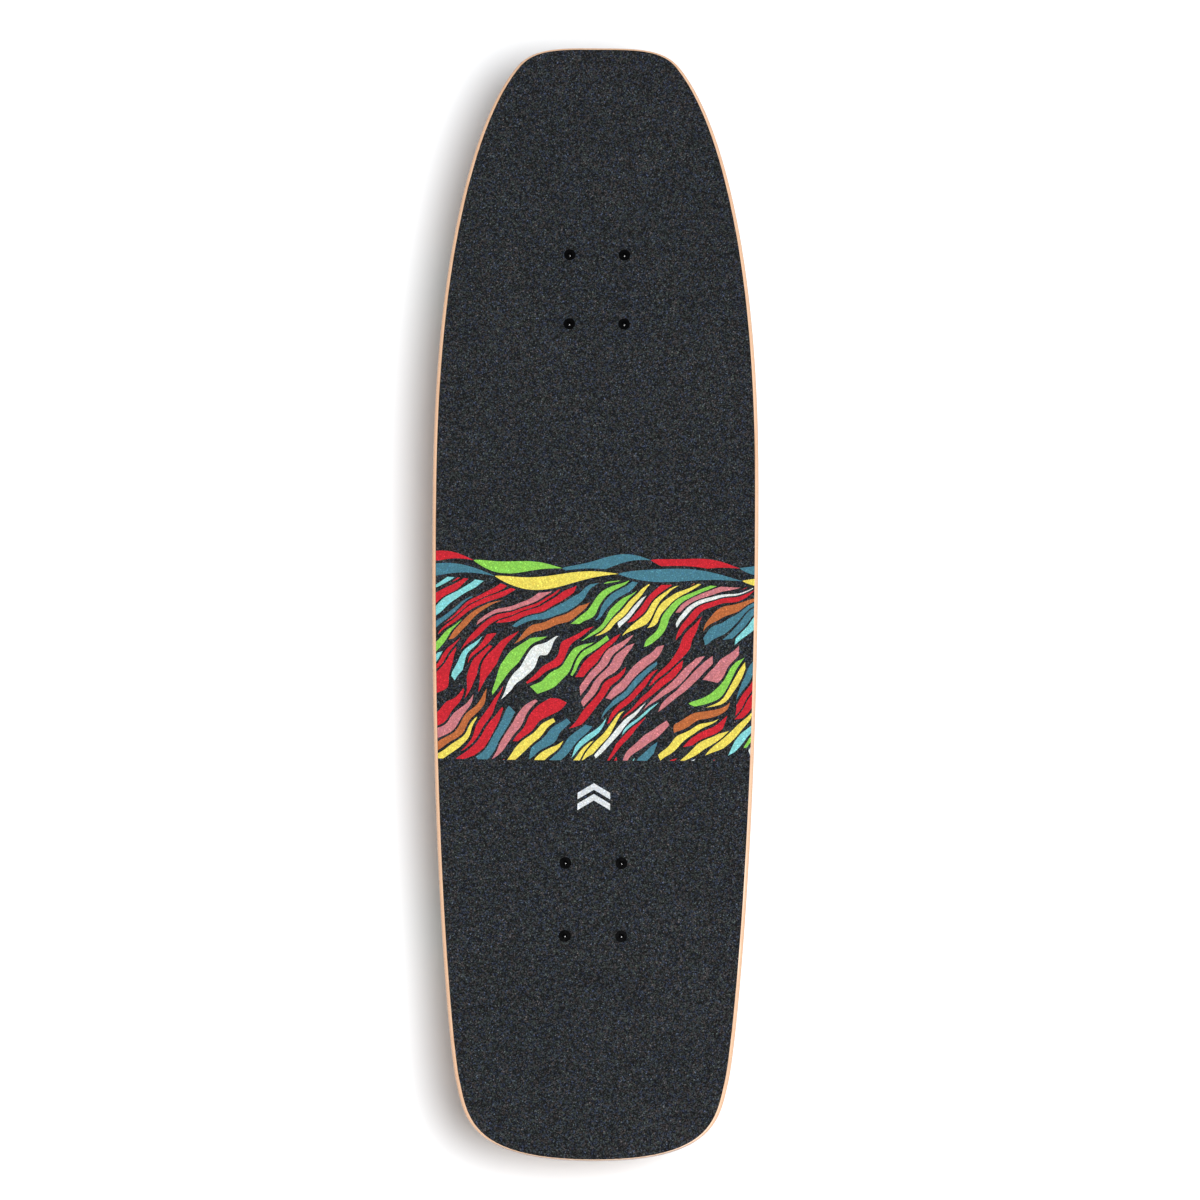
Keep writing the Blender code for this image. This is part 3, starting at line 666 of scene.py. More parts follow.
def thread(name, radius, start, end, origin, direction, material, pitch):
    """A real helical thread: the surface winds up by one pitch each turn."""
    count = 36
    forward, ways = spokes(direction, count)
    rows = max(2, round((end - start) / pitch * 6))
    depth = pitch * 0.42
    loops = []
    for row in range(rows + 1):
        distance = start + (end - start) * row / rows
        fade = min(1.0, (distance - start) / pitch, (end - distance) / pitch)
        loop = []
        for index, (_, way) in enumerate(ways):
            phase = ((distance - start) / pitch - index / count) % 1.0
            groove = depth * abs(2 * phase - 1) * fade
            loop.append(forward * distance + way * (radius - groove - depth * 0.3 * (1 - fade)))
        loops.append(loop)
    return loft(name, loops, origin, material)


def discs(origin, direction, *stations, count=36, keep=None):
    """Rim points of discs on one axis, each a (radius, distance); keep leaves only those on its side."""
    forward, ways = spokes(direction, count)
    points = []
    for radius, distance in stations:
        for _, way in ways:
            if keep is None or way.dot(keep) > 0.05:
                points.append(Vector(origin) + forward * distance + way * radius)
    return points


def add_hull(bm, points):
    """Adds the closed convex skin of the points to bm."""
    part = bmesh.new()
    for point in points:
        part.verts.new(point)
    result = bmesh.ops.convex_hull(part, input=part.verts)
    spare = result["geom_interior"] + result["geom_unused"]
    spare = {item for item in spare if isinstance(item, bmesh.types.BMVert)}
    bmesh.ops.delete(part, geom=list(spare), context="VERTS")
    bmesh.ops.recalc_face_normals(part, faces=part.faces)
    mesh = bpy.data.meshes.new("part")
    part.to_mesh(mesh)
    part.free()
    bm.from_mesh(mesh)
    bpy.data.meshes.remove(mesh)


def cast_body(name, hulls, material, smoothing=7):
    """One casting: the hulls fused, with fillets where they meet."""
    bm = bmesh.new()
    for points in hulls:
        add_hull(bm, points)
    obj = link_mesh(name, bm)
    remesh = obj.modifiers.new("fuse", "REMESH")
    remesh.mode = "VOXEL"
    remesh.voxel_size = VOXEL
    smooth = obj.modifiers.new("fillet", "SMOOTH")
    smooth.factor = 0.5
    smooth.iterations = smoothing
    freeze(obj)
    obj.data.materials.clear()
    obj.data.materials.append(material)
    return obj


def join(objects, name):
    """Joins pieces into the first, keeping each one's materials."""
    base = objects[0]
    bm = bmesh.new()
    materials = []
    for obj in objects:
        slots = {}
        for index, material in enumerate(obj.data.materials):
            if material not in materials:
                materials.append(material)
            slots[index] = materials.index(material)
        start = len(bm.faces)
        mesh = obj.data.copy()
        mesh.transform(obj.matrix_basis)
        bm.from_mesh(mesh)
        bm.faces.ensure_lookup_table()
        for face in bm.faces[start:]:
            face.material_index = slots.get(face.material_index, 0)
        bpy.data.meshes.remove(mesh)
    joined = bpy.data.meshes.new(name)
    bm.to_mesh(joined)
    bm.free()
    for material in materials:
        joined.materials.append(material)
    smooth_by_angle(joined)
    for obj in objects[1:]:
        bpy.data.objects.remove(obj, do_unlink=True)
    base.name = name
    base.data = joined
    base.location = ORIGIN
    return base


def settle(obj, body, slot, *nodes):
    """Attaches the piece to its body and hides the CAD nodes that it stands for; slot is not used."""
    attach(obj, body)
    if nodes:
        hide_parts(*nodes)
    return obj


# Deck and grip sheet

def bezier(points, share):
    a, b, c, d = (Vector(point) for point in points)
    rest = 1 - share
    return a * rest**3 + b * 3 * rest**2 * share + c * 3 * rest * share**2 + d * share**3


def full_outline():
    right = [Vector(OUTLINE[0][0])]
    for segment, steps in zip(OUTLINE, OUTLINE_STEPS):
        right += [bezier(segment, (step + 1) / steps) for step in range(steps)]
    left = [Vector((-point.x, point.y)) for point in reversed(right[1:-1])]
    return right + left


def inward_ways(outline):
    ways = []
    for index in range(len(outline)):
        along = outline[(index + 1) % len(outline)] - outline[index - 1]
        ways.append(Vector((-along.y, along.x)).normalized())
    return ways


def grip_insets(outline):
    """How far the grip stays inside the edge: less at the ends than along the sides."""
    insets = []
    for way in inward_ways(outline):
        end = GRIP_TAIL_INSET if way.y > 0 else GRIP_NOSE_INSET
        insets.append(GRIP_SIDE_INSET + (end - GRIP_SIDE_INSET) * way.y**2)
    return insets


def ring_toward_spine(outline, share):
    half = len(outline) // 2
    ring = []
    for index, point in enumerate(outline):
        along = min(index, len(outline) - index) / half
        ring.append(Vector((point.x * share, SPINE_HALF * (2 * along - 1) * (1 - share) + point.y * share)))
    return ring


def kick(distance, slope):
    if distance <= 0:
        return 0.0
    if distance < KICK_BLEND:
        return slope * distance**2 / (2 * KICK_BLEND)
    return slope * (distance - KICK_BLEND / 2)


def deck_rise(point):
    side = max(0.0, abs(point.x) - FLAT_HALF_WIDTH) / (HALF_WIDTH - FLAT_HALF_WIDTH)
    ends = kick(TAIL_KICK[0] - point.y, TAIL_KICK[1]) + kick(point.y - NOSE_KICK[0], NOSE_KICK[1])
    return CONCAVE_DEPTH * side**1.8 + ends


def sheet_from_rings(name, rings, low, high, material):
    """A closed sheet from the bottom's middle, round its edge, to the top's middle."""
    bm = bmesh.new()
    layer = bm.verts.layers.float.new("layer")
    thickness = high - low

    def add(point, height):
        vert = bm.verts.new((point.x, point.y, height + deck_rise(point)))
        vert[layer] = (height - low) / thickness
        return vert

    loops = [[add(*station) for station in ring] for ring in rings]
    skin(bm, loops)
    count = len(loops[0])
    half = count // 2
    for loop, height in ((loops[0], low), (loops[-1], high)):
        spine = [add(Vector((0.0, SPINE_HALF * (2 * step / half - 1))), height) for step in range(half + 1)]
        for index in range(count):
            after = (index + 1) % count
            near = spine[min(index, count - index)]
            far = spine[min(after, count - after)]
            bm.faces.new((loop[index], loop[after], far, near))
    return finish_mesh(name, bm, ORIGIN, material)


def edge_rings(rim, lower_radii, upper_radii, low, high):
    """The sheet's side, with a quarter round at the lower and the upper rim: rings of (point, height)."""
    ways = inward_ways(rim)
    lower = []
    upper = []
    for step in range(EDGE_STEPS + 1):
        angle = math.pi / 2 * step / EDGE_STEPS
        inward, drop = 1 - math.sin(angle), 1 - math.cos(angle)
        sets = (lower, lower_radii, low, 1), (upper, upper_radii, high, -1)
        for rings, radii, height, sign in sets:
            ring = []
            for point, way, radius in zip(rim, ways, radii):
                ring.append((point + way * (radius * inward), height + sign * radius * drop))
            rings.append(ring)
    between = [[(point, low + (high - low) * share) for point in rim] for share in (0.35, 0.5, 0.6, 0.7)]
    return lower + between + upper[::-1]


def make_sheet(name, rim, lower_radii, upper_radii, low, high, material):
    inner = [ring_toward_spine(full_outline(), share) for share in RING_SHARES]
    bottom = [[(point, low) for point in ring] for ring in inner]
    top = [[(point, high) for point in ring] for ring in reversed(inner)]
    rings = bottom + edge_rings(rim, lower_radii, upper_radii, low, high) + top
    return sheet_from_rings(name, rings, low, high, material)


def hole_places():
    places = []
    for truck in ("front", "rear"):
        for sign_y in (1, -1):
            for sign_x in (-1, 1):
                places.append((sign_x * HOLE_HALF_X, TRUCK_Y[truck] + sign_y * HOLE_HALF_Y))
    return places


def make_deck(materials):
    rim = full_outline()
    insets = grip_insets(rim)
    lower = [EDGE_RADIUS] * len(rim)
    upper = [inset - 0.0001 for inset in insets]
    deck = make_sheet("maple_deck", rim, lower, upper, DECK_BOTTOM, DECK_TOP, materials["maple"])
    low = DECK_TOP + GAP * 0.7
    grip_rim = [point + way * inset for point, way, inset in zip(rim, inward_ways(rim), insets)]
    lower, upper = [0.0001] * len(rim), [0.0003] * len(rim)
    grip = make_sheet("grit_top", grip_rim, lower, upper, low, low + GRIP_THICKNESS, materials["grip"])
    lip = DECK_TOP + GAP / 2
    for piece, wide in ((deck, SCREW_HEAD_RADIUS - 0.0004), (grip, SCREW_HEAD_RADIUS - 0.0001)):
        tools = []
        for x, y in hole_places():
            through = (
                (SCREW_HOLE_RADIUS, DECK_BOTTOM - 0.005),
                (SCREW_HOLE_RADIUS, DECK_TOP - 0.0017),
                (wide, lip),
                (wide, lip + 0.004),
            )
            tools.append(turned("tool", through, (x, y, 0.0), UP, None, count=40))
        cut(piece, [join(tools, "tool")])
    settle(deck, "board", "maple", "deck")
    settle(grip, "board", "grip", "grip_tape")


def make_screws(materials):
    """Flat heads with a hex socket, whose domed floor is worn bright."""
    top = DECK_TOP + GAP * 0.7 + GRIP_THICKNESS
    for index, (x, y) in enumerate(hole_places(), 1):
        plate_top = DECK_BOTTOM - (0.0 if y > 0 else RISER_THICKNESS)
        end = top - (plate_top - 0.0141)
        head = [
            (0.0003, 0.00120),
            (0.0007, 0.00127),
            (0.0011, 0.00148),
            (0.0015, 0.0017, 0.00165),
            (0.0015, 0.0002, 0.00165),
            (0.0018, -0.00008),
            (SCREW_HEAD_RADIUS - 0.0003, -0.00008),
            (SCREW_HEAD_RADIUS, 0.00025),
            (SCREW_HEAD_RADIUS, 0.0006),
            (SCREW_RADIUS, 0.0023),
            (SCREW_RADIUS, end - 0.012),
        ]
        origin = (x, y, top)
        screw = turned("head", head, origin, DOWN, materials["black_steel"], count=48)
        screw.data.materials.append(materials["worn_socket"])
        for face in screw.data.polygons:
            if face.center.z < -0.001 and face.center.xy.length < 0.0013:
                face.material_index = 1
        tail = thread("tail", SCREW_RADIUS, end - 0.0125, end, origin, DOWN, materials["black_steel"], 0.0008)
        screw = join([screw, tail], f"flat_screw_{index}")
        settle(screw, "board", "black_steel", f"deck_screw_{index}")
        make_lock_nut(f"nyloc_{index}", (x, y, plate_top), materials, index)


def make_lock_nut(name, origin, materials, index):
    bore = SCREW_RADIUS + 0.0002
    shell = [(bore, 0.0073)] + hex_stations(SCREW_HEX, 0.0073, 0.0110)
    shell += [(0.0042, 0.0111), (0.0042, 0.0120), (0.0038, 0.0126)]
    shell += [(0.0031, 0.0127), (0.0031, 0.0121), (bore, 0.0121)]
    body = turned("shell", shell, origin, DOWN, materials["zinc"], True, 48)
    ring = ring_profile(bore, 0.0030, 0.0122, 0.0126)
    nylon = turned("ring", ring, origin, DOWN, materials["nylon"], True, 36)
    settle(join([body, nylon], name), "board", "zinc_steel", f"lock_nut_{index}")


# Trucks

class Truck:
    """Places one truck: u runs outward from its centre and w down from its mounting face."""

    def __init__(self, name, outward, top_z, axle_u):
        self.name = name
        self.centre_y = TRUCK_Y[name]
        self.outward = outward
        self.top_z = top_z
        axle_w = top_z - WHEEL_RADIUS
        self.axle = self.at(axle_u, axle_w)
        self.ring = self.at(axle_u - AXLE_OUT, axle_w - AXLE_DOWN)
        self.kingpin = self.way(-math.sin(KINGPIN_TILT), math.cos(KINGPIN_TILT))
        self.lean = self.way(math.cos(LEAN_RISE), -math.sin(LEAN_RISE))
        self.carrier = "front_arm" if name == "front" else "board"

    def at(self, u, w, x=0.0):
        return Vector((x, self.centre_y + self.outward * u, self.top_z - w))

    def way(self, u, w):
        return Vector((0.0, self.outward * u, -w))


def round_rect(half_x, half_y, corner, steps):
    """Points (x, y) of a rectangle with round corners, about its centre."""
    points = []
    for turn in range(4):
        for step in range(steps + 1):
            angle = math.pi / 2 * (turn + step / steps)
            sign_x = 1 if turn in (0, 3) else -1
            sign_y = 1 if turn in (0, 1) else -1
            x = sign_x * (half_x - corner) + corner * math.cos(angle)
            y = sign_y * (half_y - corner) + corner * math.sin(angle)
            points.append((x, y))
    return points


def plate_points(truck, far):
    """A base plate's flange, down to the depth far."""
    outline = round_rect(*PLATE_SHAPE, 6)
    return [truck.at(u, depth, x) for x, u in outline for depth in (GAP, far)]


def patch_points(truck, near, far, half_x, depth):
    return [truck.at(u, depth, x) for u in (near, far) for x in (-half_x, half_x)]


def plate_tools(truck):
    """Mounting holes with their spot faces."""
    tools = []
    for x, y in hole_places():
        if (y > 0) == (truck.outward > 0):
            place = (x, y, truck.top_z)
            tools.append(rod(SCREW_HOLE_RADIUS, -0.03, 0.03, place, UP, 32))
            tools.append(rod(0.0062, -0.03, -0.0070, place, UP, 40))
    return tools


def seat_tools(truck):
    """Room for the kingpin, its head and the bushings, and the pivot cup's hole."""
    return [
        rod(KINGPIN_RADIUS + 0.0004, -0.05, 0.0, truck.ring, truck.kingpin),
        rod(0.0089, -0.050, -0.0272, truck.ring, truck.kingpin),
        rod(0.0129, SEAT, 0.030, truck.ring, truck.kingpin),
        rod(0.0087, 0.032, 0.0463, truck.ring, truck.lean),
        rod(0.0067, 0.0255, 0.0342, truck.ring, truck.lean),
    ]


def pivot_boss(truck):
    return discs(truck.ring, truck.lean, (0.0124, 0.0337), (0.0112, 0.0478))


def make_rear_base(truck, materials):
    seat = discs(truck.ring, truck.kingpin, (0.0126, SEAT - 0.0002))
    rib = ((-0.036, 0.004), (-0.036, 0.0085), (-0.012, 0.0155), (-0.012, 0.004))
    hulls = [
        plate_points(truck, 0.0064),
        seat + patch_points(truck, -0.026, 0.009, 0.016, 0.004),
        pivot_boss(truck) + patch_points(truck, 0.010, 0.036, 0.014, 0.004),
        [truck.at(u, w, x) for x in (-0.0025, 0.0025) for u, w in rib],
    ]
    plate = cast_body("rear_base_casting", hulls, materials["cast"])
    cut(plate, plate_tools(truck) + seat_tools(truck))
    settle(plate, "board", "cast_aluminium", "rear_base_plate")


def make_front_base(truck, swivel, way, materials):
    hulls = [plate_points(truck, 0.0068), discs(swivel, way, (0.0175, -0.0052), (0.0142, 0.0030))]
    rib = ((-0.004, 0.004), (-0.004, 0.0092), (0.034, 0.0075), (0.034, 0.004))
    for x in (-0.017, 0.017):
        hulls.append([truck.at(u, w, x + side) for u, w in rib for side in (-0.002, 0.002)])
    plate = cast_body("front_base_casting", hulls, materials["cast"])
    tools = [
        rod(0.0055, -0.03, 0.02, swivel, way),
        rod(0.0098, -0.03, -0.0030, swivel, way),
    ]
    cut(plate, plate_tools(truck) + tools)
    settle(plate, "board", "cast_aluminium", "front_base_plate")


def make_swing_arm(truck, swivel, way, materials):
    ring, kingpin, lean = truck.ring, truck.kingpin, truck.lean
    upward = -truck.way(math.sin(LEAN_RISE), math.cos(LEAN_RISE))
    hub = discs(swivel, way, (0.0170, 0.0141), (0.0168, 0.0219))
    block = discs(ring, kingpin, (0.0130, -0.0295), (0.0132, SEAT - 0.0002))
    bridge = discs(ring, kingpin, (0.0120, -0.0295), (0.0120, -0.0235))
    bridge += discs(ring, lean, (0.0122, 0.0342), (0.0112, 0.0455), keep=upward)
    collar = discs(swivel, way, (0.0125, 0.0067), (0.0125, 0.0160))
    hulls = [hub + block, bridge, pivot_boss(truck), collar]
    arm = cast_body("swing_arm_casting", hulls, materials["cast"], 5)
    spring_room = ring_profile(0.0131, 0.0192, -0.004, 0.0137)
    tools = [
        rod(0.0055, 0.0, 0.04, swivel, way),
        turned("tool", spring_room, swivel, way, None, True, 64),
    ]
    cut(arm, tools + seat_tools(truck))
    settle(arm, "front_arm", "cast_aluminium", "front_swing_arm")


def make_hanger(truck, materials):
    name = truck.name
    ring, kingpin, lean, axle = truck.ring, truck.kingpin, truck.lean, truck.axle
    hulls = [discs(ring, kingpin, (0.0180, -RING_HALF), (0.0180, RING_HALF), count=48)]
    beam = ((0.0079, -BEAM_HALF), (0.0086, -0.060), (0.0106, -0.012))
    beam += ((0.0106, 0.012), (0.0086, 0.060), (0.0079, BEAM_HALF))
    for first, second in zip(beam, beam[1:]):
        hulls.append(discs(axle, ACROSS, first, second))
    inset = RING_HALF - 0.0005
    for side in (-1, 1):
        yoke = discs(ring, kingpin, (0.0172, -inset), (0.0172, inset), keep=ACROSS * side)
        hulls.append(yoke + discs(axle, ACROSS, (0.0066, side * 0.046), (0.0082, side * 0.004)))
    web = discs(ring, lean, (0.0050, 0.0300), (0.0050, 0.0331))
    hulls.append(web + discs(axle, ACROSS, (0.0080, -0.009), (0.0080, 0.009)))
    hulls.append(discs(ring, lean, (0.0056, 0.0276), (0.0056, 0.0400), (0.0046, 0.0424), (0.0026, 0.0439)))
    hanger = cast_body(f"{name}_hanger_casting", hulls, materials["cast"], 5)
    tools = [
        rod(0.0083, -0.02, 0.02, ring, kingpin),
        rod(0.0129, -0.026, -RING_HALF, ring, kingpin),
        rod(0.0129, RING_HALF, 0.032, ring, kingpin),
        rod(AXLE_RADIUS + 0.0001, -0.09, 0.09, axle, ACROSS),
    ]
    cut(hanger, tools)
    settle(hanger, f"{name}_hanger", "cast_aluminium", f"{name}_hanger")


def make_axle(truck, materials):
    name = truck.name
    zinc = materials["zinc"]
    shank = ((AXLE_RADIUS, -0.099), (AXLE_RADIUS, 0.099))
    parts = [turned("shank", shank, truck.axle, ACROSS, zinc)]
    for sign in (-1.0, 1.0):
        way = (sign, 0.0, 0.0)
        parts.append(thread("end", AXLE_RADIUS, 0.0985, AXLE_HALF, truck.axle, way, zinc, 0.0010))
    settle(join(parts, f"{name}_axle_rod"), f"{name}_hanger", "zinc_steel", f"{name}_axle")


def make_kingpin_stack(truck, materials):
    name = truck.name
    ring = truck.ring
    way = truck.kingpin
    zinc = materials["zinc"]
    inner = KINGPIN_RADIUS + 0.0003
    bolt = hex_stations(KINGPIN_HEX, -0.0325, -0.0275)
    bolt += [(KINGPIN_RADIUS, -0.0275), (KINGPIN_RADIUS, 0.0150)]
    parts = [turned("bolt", bolt, ring, way, zinc)]
    parts.append(thread("thread", KINGPIN_RADIUS, 0.0145, 0.0285, ring, way, zinc, 0.0011))
    settle(join(parts, f"{name}_kingpin_bolt"), truck.carrier, "zinc_steel", f"{name}_kingpin")
    make_bushings(truck, inner, materials)
    for label, radius, start, end in (("top", 0.0118, -0.0194, -0.0176), ("bottom", 0.0100, 0.0156, 0.0174)):
        cup = ring_profile(inner, radius, start, end)
        washer = turned(f"{name}_{label}_cup_washer", cup, ring, way, zinc, True, FINE, 0.0006)
        settle(washer, truck.carrier, "zinc_steel", f"{name}_{label}_washer")
    label = f"{name}_kingpin_nyloc"
    nut = make_nut(label, KINGPIN_HEX, 0.0177, 0.0252, inner, ring, way, truck.carrier, materials)
    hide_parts(f"{name}_kingpin_nut")
    cup = (
        (0.0084, 0.0460),
        (0.0084, 0.0340),
        (0.0060, 0.0340),
        (0.0060, 0.0410),
        (0.0052, 0.0432),
        (0.0034, 0.0443),
    )
    cup = turned(f"{name}_pivot_bush", cup, ring, truck.lean, materials["cup"], round_by=0.0007)
    settle(cup, truck.carrier, "black_plastic", f"{name}_pivot_cup")


def make_bushings(truck, inner, materials):
    ring = truck.ring
    way = truck.kingpin
    top = (
        (inner, -0.0173), (0.0110, -0.0173), (0.0116, -0.0140), (0.0118, -0.0108),
        (0.0116, -0.0076), (0.0110, -0.0043), (inner, -0.0043),
    )
    low = (
        (inner, 0.0043), (0.0112, 0.0043), (0.0108, 0.0075), (0.0094, 0.0120),
        (0.0086, 0.0153), (inner, 0.0153),
    )
    urethane = materials["bushing"]
    for label, profile, start, end in (("top", top, -0.0173, -0.0043), ("bottom", low, 0.0153, 0.0043)):
        bushing = turned(f"{truck.name}_{label}_urethane", profile, ring, way, urethane, True, FINE, 0.0008)
        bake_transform(bushing)
        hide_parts(f"{truck.name}_{label}_bushing")


def make_nut(name, across, start, end, bore, origin, way, body, materials):
    """A lock nut: six-sided body, rolled collar and a nylon ring inside it."""
    collar = end - 0.0018
    half = across / 2
    shell = [(bore, start)] + hex_stations(across, start, collar)
    shell += [(half * 0.90, collar + 0.0002), (half * 0.88, end - 0.0006), (half * 0.78, end)]
    shell += [(half * 0.70, end), (half * 0.70, end - 0.0008), (bore, end - 0.0008)]
    parts = [turned("shell", shell, origin, way, materials["zinc"], True, FINE)]
    ring = ring_profile(bore, half * 0.69, end - 0.0007, end - 0.0002)
    parts.append(turned("ring", ring, origin, way, materials["nylon"], True, 48))
    return settle(join(parts, name), body, "zinc_steel")


def make_swivel(swivel, way, materials):
    zinc = materials["zinc"]
    bolt = hex_stations(SWIVEL_HEX, -0.0078, -0.0033) + [(SWIVEL_RADIUS, -0.0033), (SWIVEL_RADIUS, 0.0215)]
    parts = [turned("bolt", bolt, swivel, way, zinc)]
    parts.append(thread("thread", SWIVEL_RADIUS, 0.0210, 0.0315, swivel, way, zinc, 0.0012))
    settle(join(parts, "swivel_bolt_steel"), "board", "zinc_steel", "front_swivel_bolt")
    nut = make_nut("swivel_nyloc", SWIVEL_HEX, 0.0223, 0.0298, 0.0053, swivel, way, "board", materials)
    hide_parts("front_swivel_nut")
    cage = ring_profile(0.0062, 0.0116, 0.0042, 0.0054)
    washers = []
    for start in (0.0033, 0.0055):
        ring = ring_profile(0.0056, 0.0120, start, start + 0.0008)
        washers.append(turned("washer", ring, swivel, way, materials["race"], True, FINE, 0.0002))
    washers.append(turned("cage", cage, swivel, way, materials["shield"], True, FINE, 0.0002))
    settle(join(washers, "thrust_washers"), "board", "bearing_steel", "front_thrust_bearing")


def make_spring(swivel, way, materials):
    """The return spring's coil round the swivel."""
    forward, first, second = axis_basis(way)
    coil_radius, wire_radius = 0.0163, 0.0013
    start, end = 0.0034, 0.0120
    turns, steps_per_turn, sides = 2.5, 48, 14
    total = int(turns * steps_per_turn)
    origin = Vector(swivel)
    loops = []
    for step in range(total + 1):
        share = step / total
        angle = 2 * math.pi * turns * share
        spoke = first * math.cos(angle) + second * math.sin(angle)
        centre = origin + spoke * coil_radius + forward * (start + (end - start) * share)
        loop = []
        for side in range(sides):
            around = 2 * math.pi * side / sides
            offset = spoke * math.cos(around) + forward * math.sin(around)
            loop.append(centre + offset * wire_radius)
        loops.append(loop)
    spring = loft("torsion_coil", loops, ORIGIN, materials["spring"])
    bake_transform(spring)
    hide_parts("front_return_spring")


def riser_loops(stations):
    """The riser's outline at each (growth, height)."""
    half_x, half_y, corner = RISER_SHAPE
    loops = []
    for growth, height in stations:
        outline = round_rect(half_x + growth, half_y + growth, corner + growth, 10)
        loops.append([(x, y + TRUCK_Y["rear"], height) for x, y in outline])
    return loops


def make_riser(materials):
    """A rubber pad with rounded rims and three grooves round its side."""
    low, high = DECK_BOTTOM - RISER_THICKNESS, DECK_BOTTOM - GAP
    rim = RISER_RIM
    stations = ((-rim, low), (-rim * 0.3, low + rim * 0.3), (0.0, low + rim))
    stations += ((0.0, high - rim), (-rim * 0.3, high - rim * 0.3), (-rim, high))
    pad = loft("riser_pad_rubber", riser_loops(stations), ORIGIN, materials["rubber"])
    places = [(x, y, DECK_BOTTOM) for x, y in hole_places() if y < 0]
    tools = [rod(SCREW_HOLE_RADIUS, -0.02, 0.02, place, UP, 32) for place in places]
    for share in (0.25, 0.5, 0.75):
        height = DECK_BOTTOM - RISER_THICKNESS * share
        low, high = height - RISER_GROOVE, height + RISER_GROOVE
        groove = ring_profile(-RISER_GROOVE, 0.004 - RISER_GROOVE, low, high)
        tools.append(loft("tool", riser_loops(groove), ORIGIN, None, True))
    cut(pad, tools)
    settle(pad, "board", "riser_rubber", "rear_riser")


# Wheels

def wheel_profiles():
    """The urethane tyre's profile and its core's."""
    seat = BEARING_RADIUS + 0.0002
    core = 0.0150
    tyre = (
        (0.0350, 0.0680), (0.0350, 0.1030), (0.0338, 0.1066), (0.0305, 0.1085),
        (0.0245, 0.1085), (0.0205, 0.1045), (core, 0.1000), (core, 0.0715),
        (0.0205, 0.0665), (0.0245, 0.0625), (0.0305, 0.0625), (0.0338, 0.0644),
    )
    skin_radius = core - 0.0001
    hub = (
        (seat, 0.0728), (skin_radius, 0.0722), (skin_radius, 0.0990), (seat, 0.0984),
        (seat, 0.0902), (0.0092, 0.0902), (0.0092, 0.0808), (seat, 0.0808),
    )
    return tyre, hub


def make_wheel(truck, side, sign, materials):
    way = (sign, 0.0, 0.0)
    corner = f"{truck.name}_{side}"
    body = f"{corner}_wheel"
    hanger = f"{truck.name}_hanger"
    hole = AXLE_RADIUS + 0.0001
    tyre, core = wheel_profiles()
    urethane = turned("tyre", tyre, truck.axle, way, materials["wheel"], True, 144, 0.0016)
    hub = turned("hub", core, truck.axle, way, materials["core"], True, 96, 0.0003)
    wheel = join([urethane, hub], f"{corner}_urethane")
    settle(wheel, body, "urethane_wheel", f"wheel_{corner}")
    for label, start in zip(("inner", "outer"), BEARING_STARTS):
        make_bearing(f"{corner}_{label}", truck, way, start, body, materials)
    nut = make_nut(f"{corner}_axle_nyloc", AXLE_HEX, 0.0985, 0.1045, hole, truck.axle, way, hanger, materials)
    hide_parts(f"axle_nut_{corner}")
    make_spacers(corner, truck, way, materials)


def make_bearing(name, truck, way, start, body, materials):
    end = start + BEARING_WIDTH
    hole = AXLE_RADIUS + 0.0001
    outer = ring_profile(0.0093, BEARING_RADIUS, start, end)
    inner = ring_profile(hole, 0.0060, start, end)
    parts = [
        turned("outer", outer, truck.axle, way, materials["race"], True, FINE, 0.0005),
        turned("inner", inner, truck.axle, way, materials["race"], True, FINE, 0.0004),
    ]
    for face, step in ((start, 1), (end, -1)):
        near = face + step * 0.0004
        far = face + step * 0.0011
        low, high = sorted((near, far))
        middle = 0.0077
        shield = (
            (0.0061, low), (middle - 0.0005, low), (middle, (low + high) / 2 if step > 0 else low),
            (middle + 0.0005, low), (0.0092, low), (0.0092, high), (0.0061, high),
        )
        parts.append(turned("shield", shield, truck.axle, way, materials["shield"], True, FINE))
    settle(join(parts, f"{name}_bearing_parts"), body, "bearing_steel", f"bearing_{name}")


def make_spacers(corner, truck, way, materials):
    """Speed rings at both shoulders and the sleeve between the bearings."""
    hole = AXLE_RADIUS + 0.0001
    rings = []
    for start, end, radius in ((0.0724, 0.0734, 0.0060), (0.0976, 0.0984, 0.0060), (0.0806, 0.0904, 0.0056)):
        profile = ring_profile(hole, radius, start, end)
        rings.append(turned("ring", profile, truck.axle, way, materials["machined"], True, 48, 0.0002))
    settle(join(rings, f"{corner}_speed_rings"), f"{truck.name}_hanger", "zinc_steel")


# Stage

def make_stage():
    material, tree, shader = new_material("studio_floor")
    shader.inputs["Base Color"].default_value = (0.885, 0.905, 0.925, 1.0)
    shader.inputs["Roughness"].default_value = 0.9
    shader.inputs["Specular IOR Level"].default_value = 0.1
    bm = bmesh.new()
    bmesh.ops.create_grid(bm, x_segments=1, y_segments=1, size=9.0)
    floor = finish_mesh("studio_floor_sheet", bm, (0.0, 0.0, -0.0002), material)


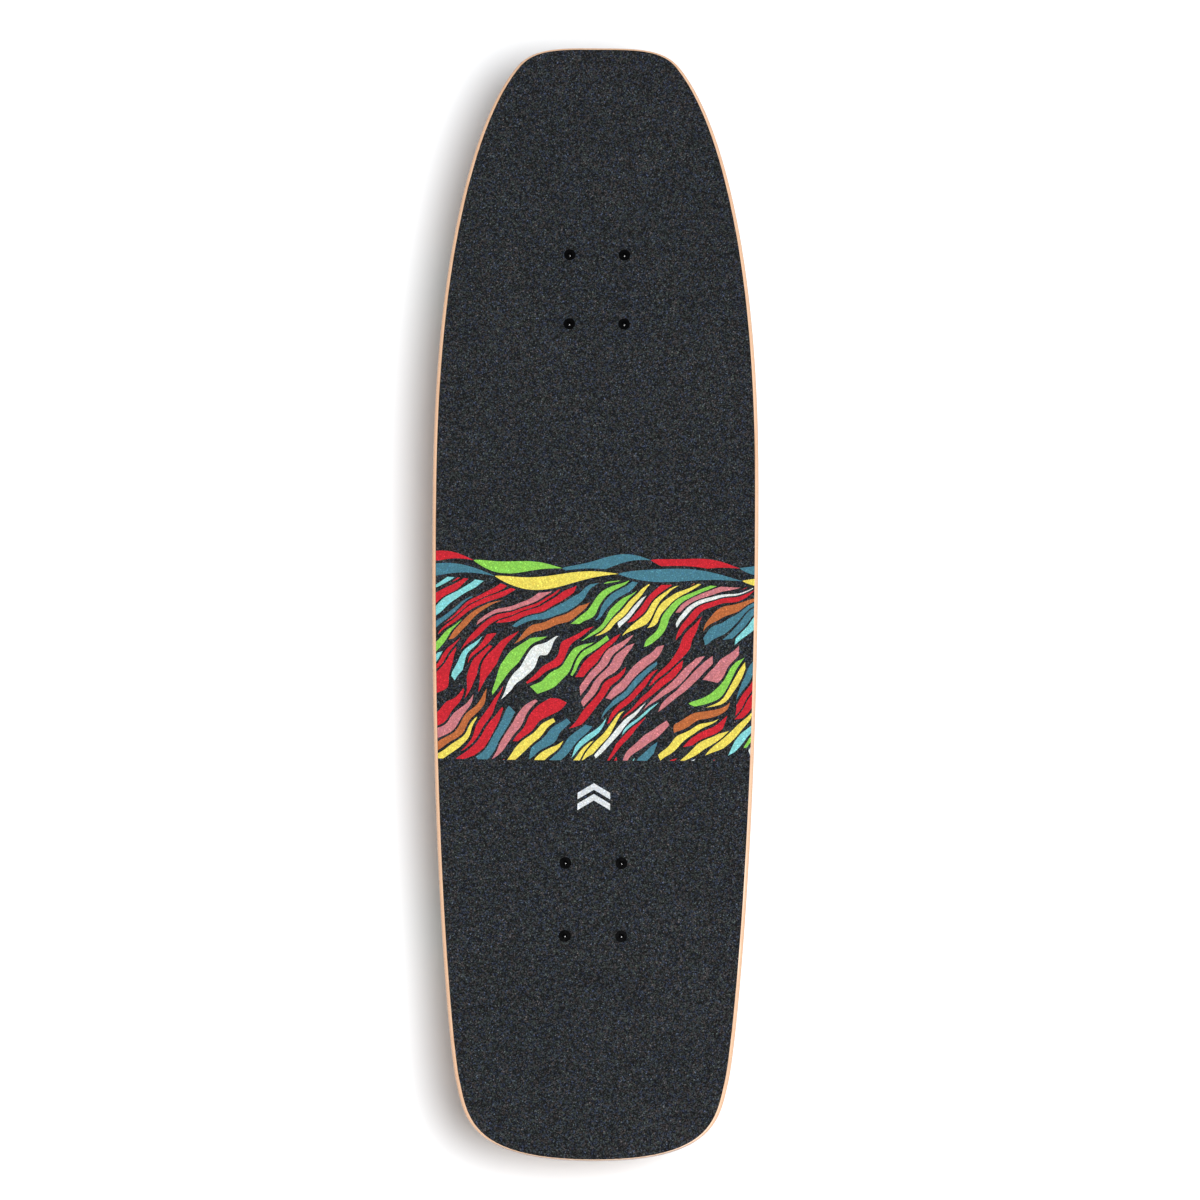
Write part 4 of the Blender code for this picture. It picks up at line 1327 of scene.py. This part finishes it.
def make_lights():
    data = bpy.data.lights.new("key", "AREA")
    data.shape = "DISK"
    data.size = KEY_SIZE
    data.energy = KEY_POWER
    lamp = bpy.data.objects.new("key", data)
    lamp.location = KEY_PLACE
    lamp.rotation_euler = (Vector(KEY_AIM) - Vector(KEY_PLACE)).to_track_quat("-Z", "Y").to_euler()
    bpy.context.collection.objects.link(lamp)
    world = bpy.data.worlds.new("studio")
    world.use_nodes = True
    background = world.node_tree.nodes["Background"]
    background.inputs["Color"].default_value = (1.0, 1.0, 1.0, 1.0)
    background.inputs["Strength"].default_value = WORLD_STRENGTH
    bpy.context.scene.world = world


def make_camera():
    data = bpy.data.cameras.new("camera")
    data.lens = CAMERA_LENS
    data.sensor_width = 36.0
    camera = bpy.data.objects.new("camera", data)
    away = Vector((0.0, -math.sin(CAMERA_TILT), math.cos(CAMERA_TILT)))
    camera.location = CAMERA_TARGET + away * CAMERA_DISTANCE
    facing = Matrix.Rotation(CAMERA_TILT, 4, "X") @ Matrix.Rotation(CAMERA_ROLL, 4, "Z")
    camera.rotation_euler = facing.to_euler()
    bpy.context.collection.objects.link(camera)
    bpy.context.scene.camera = camera


def main():
    materials = make_materials()
    make_deck(materials)
    make_screws(materials)
    make_riser(materials)
    front = Truck("front", 1.0, DECK_BOTTOM, 0.031)
    rear = Truck("rear", -1.0, DECK_BOTTOM - RISER_THICKNESS, 0.003)
    swivel = front.at(-0.014, 0.010)
    swivel_way = front.way(-math.sin(SWIVEL_TILT), math.cos(SWIVEL_TILT))
    make_rear_base(rear, materials)
    make_front_base(front, swivel, swivel_way, materials)
    make_swing_arm(front, swivel, swivel_way, materials)
    make_swivel(swivel, swivel_way, materials)
    make_spring(swivel, swivel_way, materials)
    for truck in (front, rear):
        make_hanger(truck, materials)
        make_axle(truck, materials)
        make_kingpin_stack(truck, materials)
        make_wheel(truck, "right", 1.0, materials)
        make_wheel(truck, "left", -1.0, materials)
    make_stage()
    make_lights()
    make_camera()
    bpy.context.scene.view_settings.view_transform = "Standard"


main()
